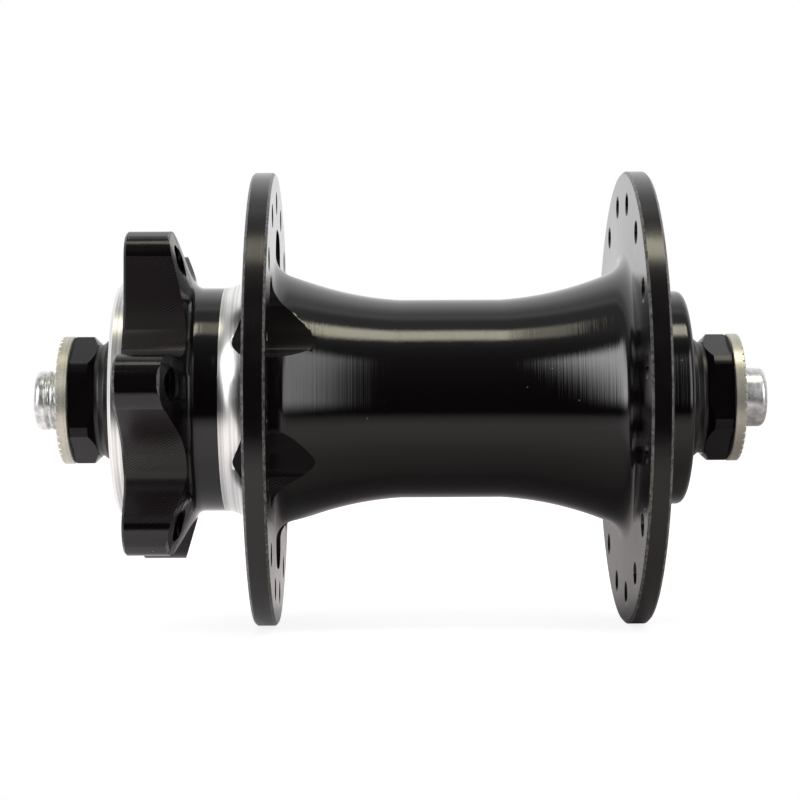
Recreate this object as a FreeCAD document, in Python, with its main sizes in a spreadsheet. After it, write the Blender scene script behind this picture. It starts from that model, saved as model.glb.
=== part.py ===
import FreeCAD, Part
import math
import os
import types

import Sketcher

# A bicycle front hub for a six-bolt brake rotor, on a hollow quick-release axle.
# Frame: the axle lies along Y, +Y points to the rotor side, +Z is up, and the origin is
# midway between the two faces that the fork clamps. All lengths are in millimetres.

# Driving sizes

SIZES = {
    # Axle and what is clamped on it
    "locknut_spacing": 100.0,
    "axle_length": 108.0,
    "axle_end_diameter": 8.7,
    "axle_end_rounding": 0.9,
    "axle_body_diameter": 12.0,
    "axle_body_overhang": 1.2,
    "skewer_bore_diameter": 5.2,
    "slip_clearance": 0.05,
    "race_clearance": 0.01,
    "washer_diameter": 18.9,
    "washer_thickness": 1.7,
    "nut_diameter": 18.8,
    "nut_thickness": 3.7,
    "nut_chamfer": 0.9,
    "nut_across_flats": 17.0,
    "rotor_nut_flat_angle": 90.0,
    "plain_nut_flat_angle": 144.6,
    "spacer_waist_diameter": 16.5,
    "spacer_lip_diameter": 17.9,
    "spacer_lip_length": 1.5,
    "spacer_waist_length": 0.7,
    "dust_flange_thickness": 1.0,
    "dust_flange_clearance": 0.5,
    "dust_seal_gap": 0.4,
    "spacer_foot_diameter": 15.4,
    "sleeve_diameter": 15.0,
    # Cartridge bearings
    "bearing_bore": 12.0,
    "bearing_outside_diameter": 28.0,
    "bearing_width": 8.0,
    "ball_diameter": 4.762,
    "ball_count": 8,
    "ball_circle_diameter": 20.0,
    "ball_clearance": 0.03,
    "groove_openness": 1.04,
    "inner_race_land_diameter": 16.4,
    "outer_race_land_diameter": 23.8,
    "race_edge_chamfer": 0.3,
    "cage_wall": 1.4,
    "cage_width": 5.5,
    "cage_pocket_clearance": 0.1,
    "seal_thickness": 0.7,
    "seal_inset": 0.15,
    "seal_lip_clearance": 0.08,
    # Hub shell, rotor side
    "pilot_diameter": 34.8,
    "pilot_length": 1.9,
    "pilot_chamfer": 0.5,
    "rotor_seat_from_locknut": 10.5,
    "rotor_bolt_circle": 44.0,
    "rotor_bolt_hole_diameter": 4.2,
    "tab_count": 6,
    "tab_tip_diameter": 52.2,
    "tab_thickness": 6.4,
    "tab_root_thickness": 9.35,
    "tab_straight_offset": 4.2,
    "tab_ramp_distance": 14.2,
    "tab_ramp_taper": 27.0,
    "tab_corner_radius": 3.6,
    "valley_ramp_radius": 14.0,
    "valley_corner_radius": 3.0,
    "valley_floor_diameter": 35.2,
    "first_tab_angle": 24.65,
    "neck_diameter": 33.1,
    "tab_root_fillet": 1.5,
    "neck_flange_fillet": 4.5,
    # Hub shell, flanges and barrel
    "flange_diameter": 67.0,
    "rotor_flange_thickness": 3.2,
    "plain_flange_thickness": 3.0,
    "flange_chamfer": 0.35,
    "rotor_flange_offset": 19.9,
    "plain_flange_offset": 34.4,
    "spoke_count": 16,
    "spoke_circle_diameter": 58.0,
    "spoke_hole_diameter": 2.6,
    "spoke_phase": 3.3,
    "barrel_diameter": 29.4,
    "barrel_straight_length": 14.8,
    "flare_radius": 48.7,
    "flare_root_diameter": 38.8,
    "flange_root_fillet": 3.5,
    "window_outer_diameter": 50.4,
    "window_wide_end_radius": 4.1,
    "window_wide_end_offset": 1.5,
    "window_narrow_end_radius": 3.6,
    "window_narrow_end_offset": 2.6,
    "window_lead": 3.0,
    # Hub shell, plain side and inside
    "boss_diameter": 31.7,
    "boss_end_from_locknut": 8.35,
    "boss_edge_radius": 1.0,
    "boss_root_fillet": 0.6,
    "shell_core_diameter": 24.0,
    "seam_angle": 98.5,
    "cut_overrun": 2.0,
}


class Size:
    """A size that carries its sheet formula beside its number."""

    def __init__(self, formula, number):
        self.formula = formula
        self.number = number

    def joined(self, sign, other, number):
        return Size("(%s %s %s)" % (self.formula, sign, other.formula), number)

    def __add__(self, other):
        other = as_size(other)
        return self.joined("+", other, self.number + other.number)

    def __sub__(self, other):
        other = as_size(other)
        return self.joined("-", other, self.number - other.number)

    def __mul__(self, other):
        other = as_size(other)
        return self.joined("*", other, self.number * other.number)

    def __truediv__(self, other):
        other = as_size(other)
        return self.joined("/", other, self.number / other.number)

    def __neg__(self):
        return Size("(0 - %s)" % self.formula, -self.number)


def as_size(value):
    if isinstance(value, Size):
        return value
    return Size(repr(float(value)), float(value))


def half(size):
    return size / 2


# Document and sheet

doc = FreeCAD.newDocument("front_hub")
sheet = doc.addObject("Spreadsheet::Sheet", "Sizes")
for row, (word, number) in enumerate(SIZES.items(), start=1):
    sheet.set("A%d" % row, word)
    sheet.set("B%d" % row, str(number))
    sheet.setAlias("B%d" % row, word)
doc.recompute()

S = types.SimpleNamespace(**{word: Size("Sizes.%s" % word, number) for word, number in SIZES.items()})

# Places along the axle, measured from the middle of the hub towards either end.
# The stack that the axle clamps runs: sleeve, inner race, spacer, nut, washer.
locknut_face = half(S.locknut_spacing)
washer_start = locknut_face - S.washer_thickness
nut_start = washer_start - S.nut_thickness
rotor_seat = locknut_face - S.rotor_seat_from_locknut
pilot_face = rotor_seat + S.pilot_length
bearing_outer_face = pilot_face - S.dust_flange_thickness - S.dust_seal_gap
bearing_middle = bearing_outer_face - half(S.bearing_width)
bearing_inner_face = bearing_outer_face - S.bearing_width
tab_back = rotor_seat - S.tab_thickness
tab_root = rotor_seat - S.tab_root_thickness
boss_face = locknut_face - S.boss_end_from_locknut


# Helpers

def bind(thing, name, size):
    """Set a property now and tie it to the sheet."""
    setattr(thing, name, size.number)
    thing.setExpression(name, size.formula)


def new_body(label):
    body = doc.addObject("PartDesign::Body", label)
    body.Label = label
    return body


def new_sketch(body, name, role, offset=None, turn=None):
    """A sketch on one of the body's own origin planes, moved and turned by sheet sizes."""
    sketch = body.newObject("Sketcher::SketchObject", name)
    plane = [part for part in body.Origin.OriginFeatures if part.Role == role][0]
    sketch.AttachmentSupport = [(plane, "")]
    sketch.MapMode = "FlatFace"
    if turn is not None:
        spin = FreeCAD.Rotation(FreeCAD.Vector(0, 0, 1), turn.number)
        sketch.AttachmentOffset = FreeCAD.Placement(FreeCAD.Vector(0, 0, 0), spin)
        sketch.setExpression("AttachmentOffset.Rotation.Angle", turn.formula + " * 1 deg")
    if offset is not None:
        sketch.setExpression("AttachmentOffset.Base.z", offset.formula)
    return sketch


def constrain(sketch, *terms, formula=None):
    """Add a constraint and, if it has a size, tie it to the sheet."""
    index = sketch.addConstraint(Sketcher.Constraint(*terms))
    if formula is not None:
        sketch.setExpression("Constraints[%d]" % index, formula)
    return index


def arc_between(start, end, radius):
    """The arc of a radius through two points whose centre lies further from the axle."""
    middle = (start + end) / 2
    across = end - start
    reach = math.sqrt(radius ** 2 - (across.Length / 2) ** 2)
    side = FreeCAD.Vector(-across.y, across.x, 0).normalize()
    if side.y < 0:
        side = -side
    centre = middle + side * reach
    first = math.atan2(start.y - centre.y, start.x - centre.x)
    last = math.atan2(end.y - centre.y, end.x - centre.x)
    swapped = (last - first) % (2 * math.pi) > math.pi
    if swapped:
        first, last = last, first
    circle = Part.Circle(centre, FreeCAD.Vector(0, 0, 1), radius)
    return Part.ArcOfCircle(circle, first, last), swapped


def draw_outline(sketch, corners, arcs=None):
    """A closed outline of (along, radius) corners; arcs maps a corner to its run's radius."""
    arcs = arcs or {}
    points = [FreeCAD.Vector(along.number, radius.number, 0) for along, radius in corners]
    ends = []
    for i, start in enumerate(points):
        end = points[(i + 1) % len(points)]
        if i in arcs:
            arc, swapped = arc_between(start, end, arcs[i].number)
            sketch.addGeometry(arc, False)
            ends.append((2, 1) if swapped else (1, 2))
        else:
            sketch.addGeometry(Part.LineSegment(start, end), False)
            ends.append((1, 2))
    for i in range(len(points)):
        following = (i + 1) % len(points)
        constrain(sketch, "Coincident", i, ends[i][1], following, ends[following][0])
    for i, (along, radius) in enumerate(corners):
        constrain(sketch, "DistanceX", -1, 1, i, ends[i][0], along.number, formula=along.formula)
        constrain(sketch, "DistanceY", -1, 1, i, ends[i][0], radius.number, formula=radius.formula)
    for i, radius in arcs.items():
        constrain(sketch, "Radius", i, radius.number, formula=radius.formula)


def turned(label, corners, arcs=None, seam=None):
    """A body turned about the axle from an outline of (along, radius) corners.

    The outline starts at the top, or at the seam angle, which keeps the turned
    surface's seam away from later cuts.
    """
    body = new_body(label)
    sketch = new_sketch(body, label + "_outline", "YZ_Plane")
    if seam is not None:
        tilt = FreeCAD.Rotation(FreeCAD.Vector(1, 0, 0), -seam.number)
        sketch.AttachmentOffset = FreeCAD.Placement(FreeCAD.Vector(0, 0, 0), tilt)
        sketch.setExpression("AttachmentOffset.Rotation.Angle", "%s * -1 deg" % seam.formula)
    draw_outline(sketch, [(as_size(along), as_size(radius)) for along, radius in corners], arcs)
    doc.recompute()
    turning = body.newObject("PartDesign::Revolution", label + "_turning")
    turning.Profile = sketch
    turning.ReferenceAxis = (sketch, ["H_Axis"])
    turning.Angle = 360.0
    doc.recompute()
    return body


def ring_edges(shape, along, radius):
    """Names of the circular edges at a place along the axle and a radius."""
    found = []
    for number, edge in enumerate(shape.Edges, start=1):
        if not isinstance(edge.Curve, Part.Circle):
            continue
        same_place = abs(edge.Curve.Center.y - along.number) < 1e-4
        if same_place and abs(edge.Curve.Radius - radius.number) < 1e-4:
            found.append("Edge%d" % number)
    if not found:
        raise RuntimeError("no edge at %.3f with radius %.3f" % (along.number, radius.number))
    return found


def dress(body, kind, name, size, places):
    """A fillet or chamfer of one size on the circular edges at (along, radius) places."""
    base = body.Tip
    names = []
    for along, radius in places:
        names += ring_edges(base.Shape, along, radius)
    feature = body.newObject(kind, name)
    feature.Base = (base, names)
    bind(feature, "Radius" if kind == "PartDesign::Fillet" else "Size", size)
    doc.recompute()
    return feature


def cut(body, sketch, name, depth, towards_rotor_side):
    """A pocket from a sketch across the axle, with a check that it removes metal."""
    before = body.Tip.Shape.Volume
    pocket = body.newObject("PartDesign::Pocket", name)
    pocket.Profile = sketch
    pocket.Type = "Length"
    bind(pocket, "Length", depth)
    pocket.Reversed = not towards_rotor_side
    doc.recompute()
    if pocket.Shape.Volume > before - 1e-3:
        raise RuntimeError("%s removes nothing" % name)
    return pocket


def repeat_round(body, feature, name, count):
    """Repeat a cut evenly about the axle."""
    pattern = body.newObject("PartDesign::PolarPattern", name)
    pattern.Originals = [feature]
    axis = [part for part in body.Origin.OriginFeatures if part.Role == "Y_Axis"][0]
    pattern.Axis = (axis, [""])
    pattern.Angle = 360.0
    bind(pattern, "Occurrences", count)
    body.Tip = pattern
    doc.recompute()
    return pattern


def place(body, along, facing_rotor_side=True):
    """Move a body made about its own middle to its place on the axle."""
    if not facing_rotor_side:
        body.Placement = FreeCAD.Placement(
            FreeCAD.Vector(0, -along.number, 0), FreeCAD.Rotation(FreeCAD.Vector(0, 0, 1), 180))
        body.setExpression("Placement.Base.y", "0 - " + along.formula)
    else:
        body.Placement = FreeCAD.Placement(FreeCAD.Vector(0, along.number, 0), FreeCAD.Rotation())
        body.setExpression("Placement.Base.y", along.formula)


# Hub shell

def shell_body():
    """One forging turned inside and out, before its cuts."""
    pilot = half(S.pilot_diameter)
    tip = half(S.tab_tip_diameter)
    neck = half(S.neck_diameter)
    rim = half(S.flange_diameter)
    barrel = half(S.barrel_diameter)
    flare_root = half(S.flare_root_diameter)
    boss = half(S.boss_diameter)
    seat = half(S.bearing_outside_diameter)
    core = half(S.shell_core_diameter)
    rotor_half, plain_half = half(S.rotor_flange_thickness), half(S.plain_flange_thickness)
    rotor_outer, rotor_inner = S.rotor_flange_offset + rotor_half, S.rotor_flange_offset - rotor_half
    plain_outer, plain_inner = -(S.plain_flange_offset + plain_half), -(S.plain_flange_offset - plain_half)
    barrel_middle = (rotor_inner + plain_inner) / 2
    straight_rotor_end = barrel_middle + half(S.barrel_straight_length)
    straight_plain_end = barrel_middle - half(S.barrel_straight_length)
    corners = [
        (pilot_face, seat), (pilot_face, pilot), (rotor_seat, pilot), (rotor_seat, tip),
        (tab_back, tip), (tab_root, neck), (rotor_outer, neck), (rotor_outer, rim),
        (rotor_inner, rim), (rotor_inner, flare_root), (straight_rotor_end, barrel),
        (straight_plain_end, barrel), (plain_inner, flare_root), (plain_inner, rim),
        (plain_outer, rim), (plain_outer, boss), (-boss_face, boss), (-boss_face, seat),
        (-bearing_inner_face, seat), (-bearing_inner_face, core),
        (bearing_inner_face, core), (bearing_inner_face, seat),
    ]
    flares = {9: S.flare_radius, 11: S.flare_radius}
    body = turned("hub_shell", corners, flares, S.seam_angle)
    dress(body, "PartDesign::Fillet", "tab_root", S.tab_root_fillet, [(tab_root, neck)])
    dress(body, "PartDesign::Fillet", "neck_root", S.neck_flange_fillet, [(rotor_outer, neck)])
    dress(body, "PartDesign::Fillet", "flange_roots", S.flange_root_fillet,
          [(rotor_inner, flare_root), (plain_inner, flare_root)])
    dress(body, "PartDesign::Fillet", "boss_root", S.boss_root_fillet, [(plain_outer, boss)])
    dress(body, "PartDesign::Fillet", "boss_edge", S.boss_edge_radius, [(-boss_face, boss)])
    dress(body, "PartDesign::Chamfer", "pilot_edge", S.pilot_chamfer, [(pilot_face, pilot)])
    dress(body, "PartDesign::Chamfer", "flange_edges", S.flange_chamfer,
          [(rotor_outer, rim), (rotor_inner, rim), (plain_inner, rim), (plain_outer, rim)])
    return body


def heading(point, centre):
    """The angle at which a point lies, seen from a centre."""
    return math.atan2(point.y - centre.y, point.x - centre.x)


def valley_outline(sketch):
    """The gap between two rotor tabs, drawn with one tab's axis along the sketch's X.

    Its straight side is parallel to that tab's axis and turns into the floor through a
    tight corner. Its other side belongs to the tab before: that tab widens towards the
    neck, and its side runs out into the floor in a wide ramp.
    """
    pitch = 2 * math.pi / S.tab_count.number
    floor = S.valley_floor_diameter.number / 2
    outside = S.tab_tip_diameter.number / 2 + S.cut_overrun.number
    tight = S.valley_corner_radius.number
    wide = S.valley_ramp_radius.number
    straight = S.tab_straight_offset.number
    ramp = S.tab_ramp_distance.number
    lean = -(pitch + math.radians(S.tab_ramp_taper.number))
    up = FreeCAD.Vector(0, 0, 1)
    origin = FreeCAD.Vector(0, 0, 0)

    # Tight corner beside the straight side: its centre is one corner radius off both
    corner_y = straight + tight
    corner = FreeCAD.Vector(math.sqrt((floor + tight) ** 2 - corner_y ** 2), -corner_y, 0)
    # Wide ramp: its centre is one ramp radius off the leaning side
    away = ramp + wide
    run = FreeCAD.Vector(math.cos(lean), math.sin(lean), 0)
    off = FreeCAD.Vector(-math.sin(lean), math.cos(lean), 0)
    along = math.sqrt((floor + wide) ** 2 - away ** 2)
    bowl = run * along + off * away

    straight_end = FreeCAD.Vector(corner.x, -straight, 0)
    straight_out = FreeCAD.Vector(math.sqrt(outside ** 2 - straight ** 2), -straight, 0)
    ramp_end = run * along + off * ramp
    ramp_out = run * math.sqrt(outside ** 2 - ramp ** 2) + off * ramp

    line = Part.LineSegment
    arc = Part.ArcOfCircle
    ramp_finish = heading(ramp_end, bowl) % (2 * math.pi)
    sketch.addGeometry(line(straight_out, straight_end), False)
    sketch.addGeometry(
        arc(Part.Circle(corner, up, tight), math.pi / 2, heading(origin, corner)), False)
    sketch.addGeometry(
        arc(Part.Circle(origin, up, floor), heading(bowl, origin), heading(corner, origin)), False)
    sketch.addGeometry(
        arc(Part.Circle(bowl, up, wide), heading(origin, bowl), ramp_finish), False)
    sketch.addGeometry(line(ramp_end, ramp_out), False)
    sketch.addGeometry(
        arc(Part.Circle(origin, up, outside), heading(ramp_out, origin), heading(straight_out, origin)),
        False)

    side, corner_arc, floor_arc, ramp_arc, ramp_line, outer_arc = range(6)
    constrain(sketch, "Tangent", side, 2, corner_arc, 1)
    constrain(sketch, "Tangent", corner_arc, 2, floor_arc, 2)
    constrain(sketch, "Tangent", floor_arc, 1, ramp_arc, 1)
    constrain(sketch, "Tangent", ramp_arc, 2, ramp_line, 1)
    constrain(sketch, "Coincident", ramp_line, 2, outer_arc, 1)
    constrain(sketch, "Coincident", outer_arc, 2, side, 1)
    constrain(sketch, "Coincident", floor_arc, 3, -1, 1)
    constrain(sketch, "Coincident", outer_arc, 3, -1, 1)
    constrain(sketch, "Horizontal", side)
    outside_formula = (half(S.tab_tip_diameter) + S.cut_overrun).formula
    constrain(sketch, "DistanceY", side, 1, -1, 1, straight, formula=S.tab_straight_offset.formula)
    constrain(sketch, "Radius", floor_arc, floor, formula=half(S.valley_floor_diameter).formula)
    constrain(sketch, "Radius", outer_arc, outside, formula=outside_formula)
    constrain(sketch, "Radius", corner_arc, tight, formula=S.valley_corner_radius.formula)
    constrain(sketch, "Radius", ramp_arc, wide, formula=S.valley_ramp_radius.formula)
    constrain(sketch, "Distance", -1, 1, ramp_line, ramp, formula=S.tab_ramp_distance.formula)
    lean_formula = "(0 - 360 / %s - %s) * 1 deg" % (S.tab_count.formula, S.tab_ramp_taper.formula)
    constrain(sketch, "Angle", -1, 1, ramp_line, 1, lean, formula=lean_formula)


def window_outline(sketch):
    """A flange window, drawn about the sketch's X axis.

    Its outer edge follows the flange. Its inner edge is straight and leans towards the
    axle, so one round end is wider than the other.
    """
    outer = S.window_outer_diameter.number / 2
    wide, narrow = S.window_wide_end_radius.number, S.window_narrow_end_radius.number
    rise, drop = S.window_wide_end_offset.number, S.window_narrow_end_offset.number
    up = FreeCAD.Vector(0, 0, 1)
    centre = FreeCAD.Vector(0, 0, 0)
    high = FreeCAD.Vector(math.sqrt((outer - wide) ** 2 - rise ** 2), rise, 0)
    low = FreeCAD.Vector(math.sqrt((outer - narrow) ** 2 - drop ** 2), -drop, 0)
    lean = math.asin((wide - narrow) / (low - high).Length)
    touch = heading(low, high) - math.pi / 2 + lean + 2 * math.pi
    inward = FreeCAD.Vector(math.cos(touch), math.sin(touch), 0)
    high_out, low_out = heading(high, centre), heading(low, centre)
    arc = Part.ArcOfCircle
    sketch.addGeometry(Part.LineSegment(high + inward * wide, low + inward * narrow), False)
    sketch.addGeometry(arc(Part.Circle(high, up, wide), high_out, touch), False)
    sketch.addGeometry(arc(Part.Circle(centre, up, outer), low_out, high_out), False)
    sketch.addGeometry(arc(Part.Circle(low, up, narrow), touch, low_out + 2 * math.pi), False)
    constrain(sketch, "Tangent", 0, 1, 1, 2)
    constrain(sketch, "Tangent", 0, 2, 3, 1)
    constrain(sketch, "Tangent", 1, 1, 2, 2)
    constrain(sketch, "Tangent", 2, 1, 3, 2)
    constrain(sketch, "Coincident", 2, 3, -1, 1)
    constrain(sketch, "Radius", 2, outer, formula=half(S.window_outer_diameter).formula)
    constrain(sketch, "Radius", 1, wide, formula=S.window_wide_end_radius.formula)
    constrain(sketch, "Radius", 3, narrow, formula=S.window_narrow_end_radius.formula)
    constrain(sketch, "DistanceY", -1, 1, 1, 3, rise, formula=S.window_wide_end_offset.formula)
    constrain(sketch, "DistanceY", 3, 3, -1, 1, drop, formula=S.window_narrow_end_offset.formula)


def drill_circle(body, name, start, depth, turn, circle, bore, count, towards_rotor_side=False):
    """Evenly spaced round holes across the axle, on a bolt or spoke circle."""
    sketch = new_sketch(body, name + "_outline", "XZ_Plane", offset=-start, turn=turn)
    spot = FreeCAD.Vector(circle.number / 2, 0, 0)
    sketch.addGeometry(Part.Circle(spot, FreeCAD.Vector(0, 0, 1), bore.number / 2), False)
    constrain(sketch, "PointOnObject", 0, 3, -1)
    constrain(sketch, "DistanceX", -1, 1, 0, 3, circle.number / 2, formula=half(circle).formula)
    constrain(sketch, "Radius", 0, bore.number / 2, formula=half(bore).formula)
    doc.recompute()
    hole = cut(body, sketch, name, depth, towards_rotor_side)
    return repeat_round(body, hole, name + "_ring", count)


def from_top(angle):
    """Turn of a sketch so that its X axis lies at an angle from the top towards -X."""
    return as_size(90.0) + angle


def hub_shell():
    """The shell: rotor pilot and tabs, neck, flanges with spoke holes, barrel and boss."""
    body = shell_body()
    rotor_outer = S.rotor_flange_offset + half(S.rotor_flange_thickness)
    plain_inner = -(S.plain_flange_offset - half(S.plain_flange_thickness))
    tab_pitch = as_size(360.0) / S.tab_count
    spoke_pitch = as_size(360.0) / S.spoke_count

    sketch = new_sketch(body, "valley", "XZ_Plane", offset=-rotor_seat,
                        turn=from_top(S.first_tab_angle))
    valley_outline(sketch)
    doc.recompute()
    valley = cut(body, sketch, "tab_valley", S.tab_root_thickness, False)
    tabs = repeat_round(body, valley, "tab_valleys", S.tab_count)

    tip = S.tab_tip_diameter.number / 2
    corners = []
    for number, edge in enumerate(tabs.Shape.Edges, start=1):
        ends = [math.hypot(vertex.X, vertex.Z) for vertex in edge.Vertexes]
        if isinstance(edge.Curve, Part.Line) and all(abs(end - tip) < 1e-3 for end in ends):
            corners.append("Edge%d" % number)
    rounding = body.newObject("PartDesign::Fillet", "tab_corners")
    rounding.Base = (tabs, corners)
    bind(rounding, "Radius", S.tab_corner_radius)
    doc.recompute()

    # The cutter enters past the neck's fillet and ends in the flare, where it leaves a scoop
    window_start = rotor_outer + S.neck_flange_fillet
    sketch = new_sketch(body, "window", "XZ_Plane", offset=-window_start,
                        turn=from_top(S.first_tab_angle + half(tab_pitch) + S.window_lead))
    window_outline(sketch)
    doc.recompute()
    window = cut(body, sketch, "flange_window", window_start, False)
    repeat_round(body, window, "flange_windows", S.tab_count)

    drill_circle(body, "rotor_bolt_holes", rotor_seat, S.tab_root_thickness,
                 from_top(S.first_tab_angle),
                 S.rotor_bolt_circle, S.rotor_bolt_hole_diameter, S.tab_count)
    drill_circle(body, "rotor_spoke_holes", rotor_outer, S.rotor_flange_thickness,
                 from_top(S.spoke_phase), S.spoke_circle_diameter, S.spoke_hole_diameter,
                 S.spoke_count)
    drill_circle(body, "plain_spoke_holes", plain_inner, S.plain_flange_thickness,
                 from_top(S.spoke_phase - half(spoke_pitch)), S.spoke_circle_diameter,
                 S.spoke_hole_diameter, S.spoke_count)
    return body


# Axle and the pieces clamped on it

def axle():
    """Hollow axle: a plain body that the bearings sit on and a thinner threaded end each side."""
    bore = half(S.skewer_bore_diameter)
    end = half(S.axle_end_diameter)
    seat = half(S.axle_body_diameter)
    tip = half(S.axle_length)
    step = bearing_outer_face + S.axle_body_overhang
    corners = [
        (-tip, bore), (-tip, end), (-step, end), (-step, seat),
        (step, seat), (step, end), (tip, end), (tip, bore),
    ]
    body = turned("axle", corners)
    dress(body, "PartDesign::Fillet", "end_rounding", S.axle_end_rounding, [(-tip, end), (tip, end)])
    return body


def bearing_spacer_sleeve():
    """Tube on the axle that keeps the two inner races apart."""
    inside = half(S.axle_body_diameter) + S.slip_clearance
    outside = half(S.sleeve_diameter)
    corners = [
        (-bearing_inner_face, inside), (-bearing_inner_face, outside),
        (bearing_inner_face, outside), (bearing_inner_face, inside),
    ]
    return turned("bearing_spacer_sleeve", corners)


def end_spacer(side, rotor_side):
    """Spacer with a dust flange in the shell's mouth, a lip and a waist outside it."""
    on_body = half(S.axle_body_diameter) + S.slip_clearance
    on_end = half(S.axle_end_diameter) + S.slip_clearance
    foot = half(S.spacer_foot_diameter)
    flange = half(S.bearing_outside_diameter) - S.dust_flange_clearance
    lip = half(S.spacer_lip_diameter)
    waist = half(S.spacer_waist_diameter)
    length = nut_start - bearing_outer_face
    flange_start = S.dust_seal_gap
    flange_end = flange_start + S.dust_flange_thickness
    waist_start = length - S.spacer_waist_length
    lip_start = waist_start - S.spacer_lip_length + (lip - waist)
    step = S.axle_body_overhang + S.slip_clearance
    corners = [
        (as_size(0.0), on_body), (as_size(0.0), foot), (flange_start, foot),
        (flange_start, flange), (flange_end, flange), (flange_end, lip),
        (lip_start, lip), (waist_start, waist), (length, waist),
        (length, on_end), (step, on_end), (step, on_body),
    ]
    body = turned(side + "_end_spacer", corners)
    place(body, bearing_outer_face, rotor_side)
    return body


def locknut(side, rotor_side):
    """Round nut with two flats for a cone spanner and a chamfer on its inner edge.

    The flat angles are measured from the top towards -X, and the plain side's nut is
    made facing the other way, so its sketches turn the other way too.
    """
    bore = half(S.axle_end_diameter) + S.slip_clearance
    outside = half(S.nut_diameter)
    soft = S.nut_chamfer
    thick = S.nut_thickness
    corners = [
        (as_size(0.0), bore), (as_size(0.0), outside - soft), (soft, outside),
        (thick, outside), (thick, bore),
    ]
    body = turned(side + "_locknut", corners)
    if rotor_side:
        flat_turn = from_top(S.rotor_nut_flat_angle)
    else:
        flat_turn = as_size(90.0) - S.plain_nut_flat_angle
    for name, turn in (("near_flat", flat_turn), ("far_flat", flat_turn + 180)):
        sketch = new_sketch(body, name + "_outline", "XZ_Plane", turn=turn)
        flat = half(S.nut_across_flats)
        reach = outside + S.cut_overrun
        low, high = flat.number, reach.number
        tall = outside.number
        box = [(low, -tall), (high, -tall), (high, tall), (low, tall)]
        points = [FreeCAD.Vector(x, y, 0) for x, y in box]
        for i, start in enumerate(points):
            sketch.addGeometry(Part.LineSegment(start, points[(i + 1) % 4]), False)
        for i in range(4):
            constrain(sketch, "Coincident", i, 2, (i + 1) % 4, 1)
        constrain(sketch, "Horizontal", 0)
        constrain(sketch, "Vertical", 1)
        constrain(sketch, "Horizontal", 2)
        constrain(sketch, "Vertical", 3)
        constrain(sketch, "DistanceX", -1, 1, 0, 1, low, formula=flat.formula)
        constrain(sketch, "DistanceX", 0, 1, 0, 2, high - low, formula=(reach - flat).formula)
        constrain(sketch, "DistanceY", 1, 1, 1, 2, 2 * tall, formula=(outside * 2).formula)
        constrain(sketch, "DistanceY", 0, 1, -1, 1, tall, formula=outside.formula)
        doc.recompute()
        cut(body, sketch, name, thick, True)
    place(body, nut_start, rotor_side)
    return body


def face_washer(side, rotor_side):
    """Steel washer whose outer face bites into the fork."""
    bore = half(S.axle_end_diameter) + S.slip_clearance
    outside = half(S.washer_diameter)
    corners = [
        (as_size(0.0), bore), (as_size(0.0), outside),
        (S.washer_thickness, outside), (S.washer_thickness, bore),
    ]
    body = turned(side + "_face_washer", corners)
    place(body, washer_start, rotor_side)
    return body


# Cartridge bearings

def inner_race(side, rotor_side):
    """Inner race with its ball groove, a slip fit on the axle."""
    wide = half(S.bearing_width)
    soft = S.race_edge_chamfer
    bore = half(S.bearing_bore) + S.race_clearance
    land = half(S.inner_race_land_diameter)
    corners = [
        (-wide, bore), (-wide, land - soft), (soft - wide, land),
        (wide - soft, land), (wide, land - soft), (wide, bore),
    ]
    body = turned(side + "_inner_race", corners)
    groove(body, True)
    place(body, bearing_middle, rotor_side)
    return body


def outer_race(side, rotor_side):
    """Outer race with its ball groove, pressed into the shell."""
    wide = half(S.bearing_width)
    soft = S.race_edge_chamfer
    outside = half(S.bearing_outside_diameter)
    land = half(S.outer_race_land_diameter)
    corners = [
        (-wide, land), (-wide, outside - soft), (soft - wide, outside),
        (wide - soft, outside), (wide, outside - soft), (wide, land),
    ]
    body = turned(side + "_outer_race", corners)
    groove(body, False)
    place(body, bearing_middle, rotor_side)
    return body


def groove(body, inner):
    """Turn the ball groove: a circle a little larger than the ball, just clear of it."""
    sketch = new_sketch(body, body.Label + "_groove_outline", "YZ_Plane")
    radius = half(S.ball_diameter) * S.groove_openness
    depth = half(S.ball_diameter) + S.ball_clearance
    pitch = half(S.ball_circle_diameter)
    height = pitch - depth + radius if inner else pitch + depth - radius
    spot = FreeCAD.Vector(0, height.number, 0)
    sketch.addGeometry(Part.Circle(spot, FreeCAD.Vector(0, 0, 1), radius.number), False)
    constrain(sketch, "PointOnObject", 0, 3, -2)
    constrain(sketch, "DistanceY", -1, 1, 0, 3, height.number, formula=height.formula)
    constrain(sketch, "Radius", 0, radius.number, formula=radius.formula)
    doc.recompute()
    before = body.Tip.Shape.Volume
    turning = body.newObject("PartDesign::Groove", body.Label + "_groove")
    turning.Profile = sketch
    turning.ReferenceAxis = (sketch, ["H_Axis"])
    turning.Angle = 360.0
    doc.recompute()
    if turning.Shape.Volume > before - 1e-3:
        raise RuntimeError("the groove of %s removes nothing" % body.Label)


def ball_cage(side, rotor_side):
    """Moulded ring that keeps the balls apart, with a round pocket for each."""
    pitch = half(S.ball_circle_diameter)
    wall = half(S.cage_wall)
    wide = half(S.cage_width)
    corners = [(-wide, pitch - wall), (-wide, pitch + wall), (wide, pitch + wall), (wide, pitch - wall)]
    body = turned(side + "_ball_cage", corners)
    sketch = new_sketch(body, "pocket_outline", "XY_Plane")
    pocket = half(S.ball_diameter) + S.cage_pocket_clearance
    sketch.addGeometry(
        Part.Circle(FreeCAD.Vector(0, 0, 0), FreeCAD.Vector(0, 0, 1), pocket.number), False)
    constrain(sketch, "Coincident", 0, 3, -1, 1)
    constrain(sketch, "Radius", 0, pocket.number, formula=pocket.formula)
    doc.recompute()
    hole = cut(body, sketch, "ball_pocket", S.ball_circle_diameter, False)
    repeat_round(body, hole, "ball_pockets", S.ball_count)
    place(body, bearing_middle, rotor_side)
    return body


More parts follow.
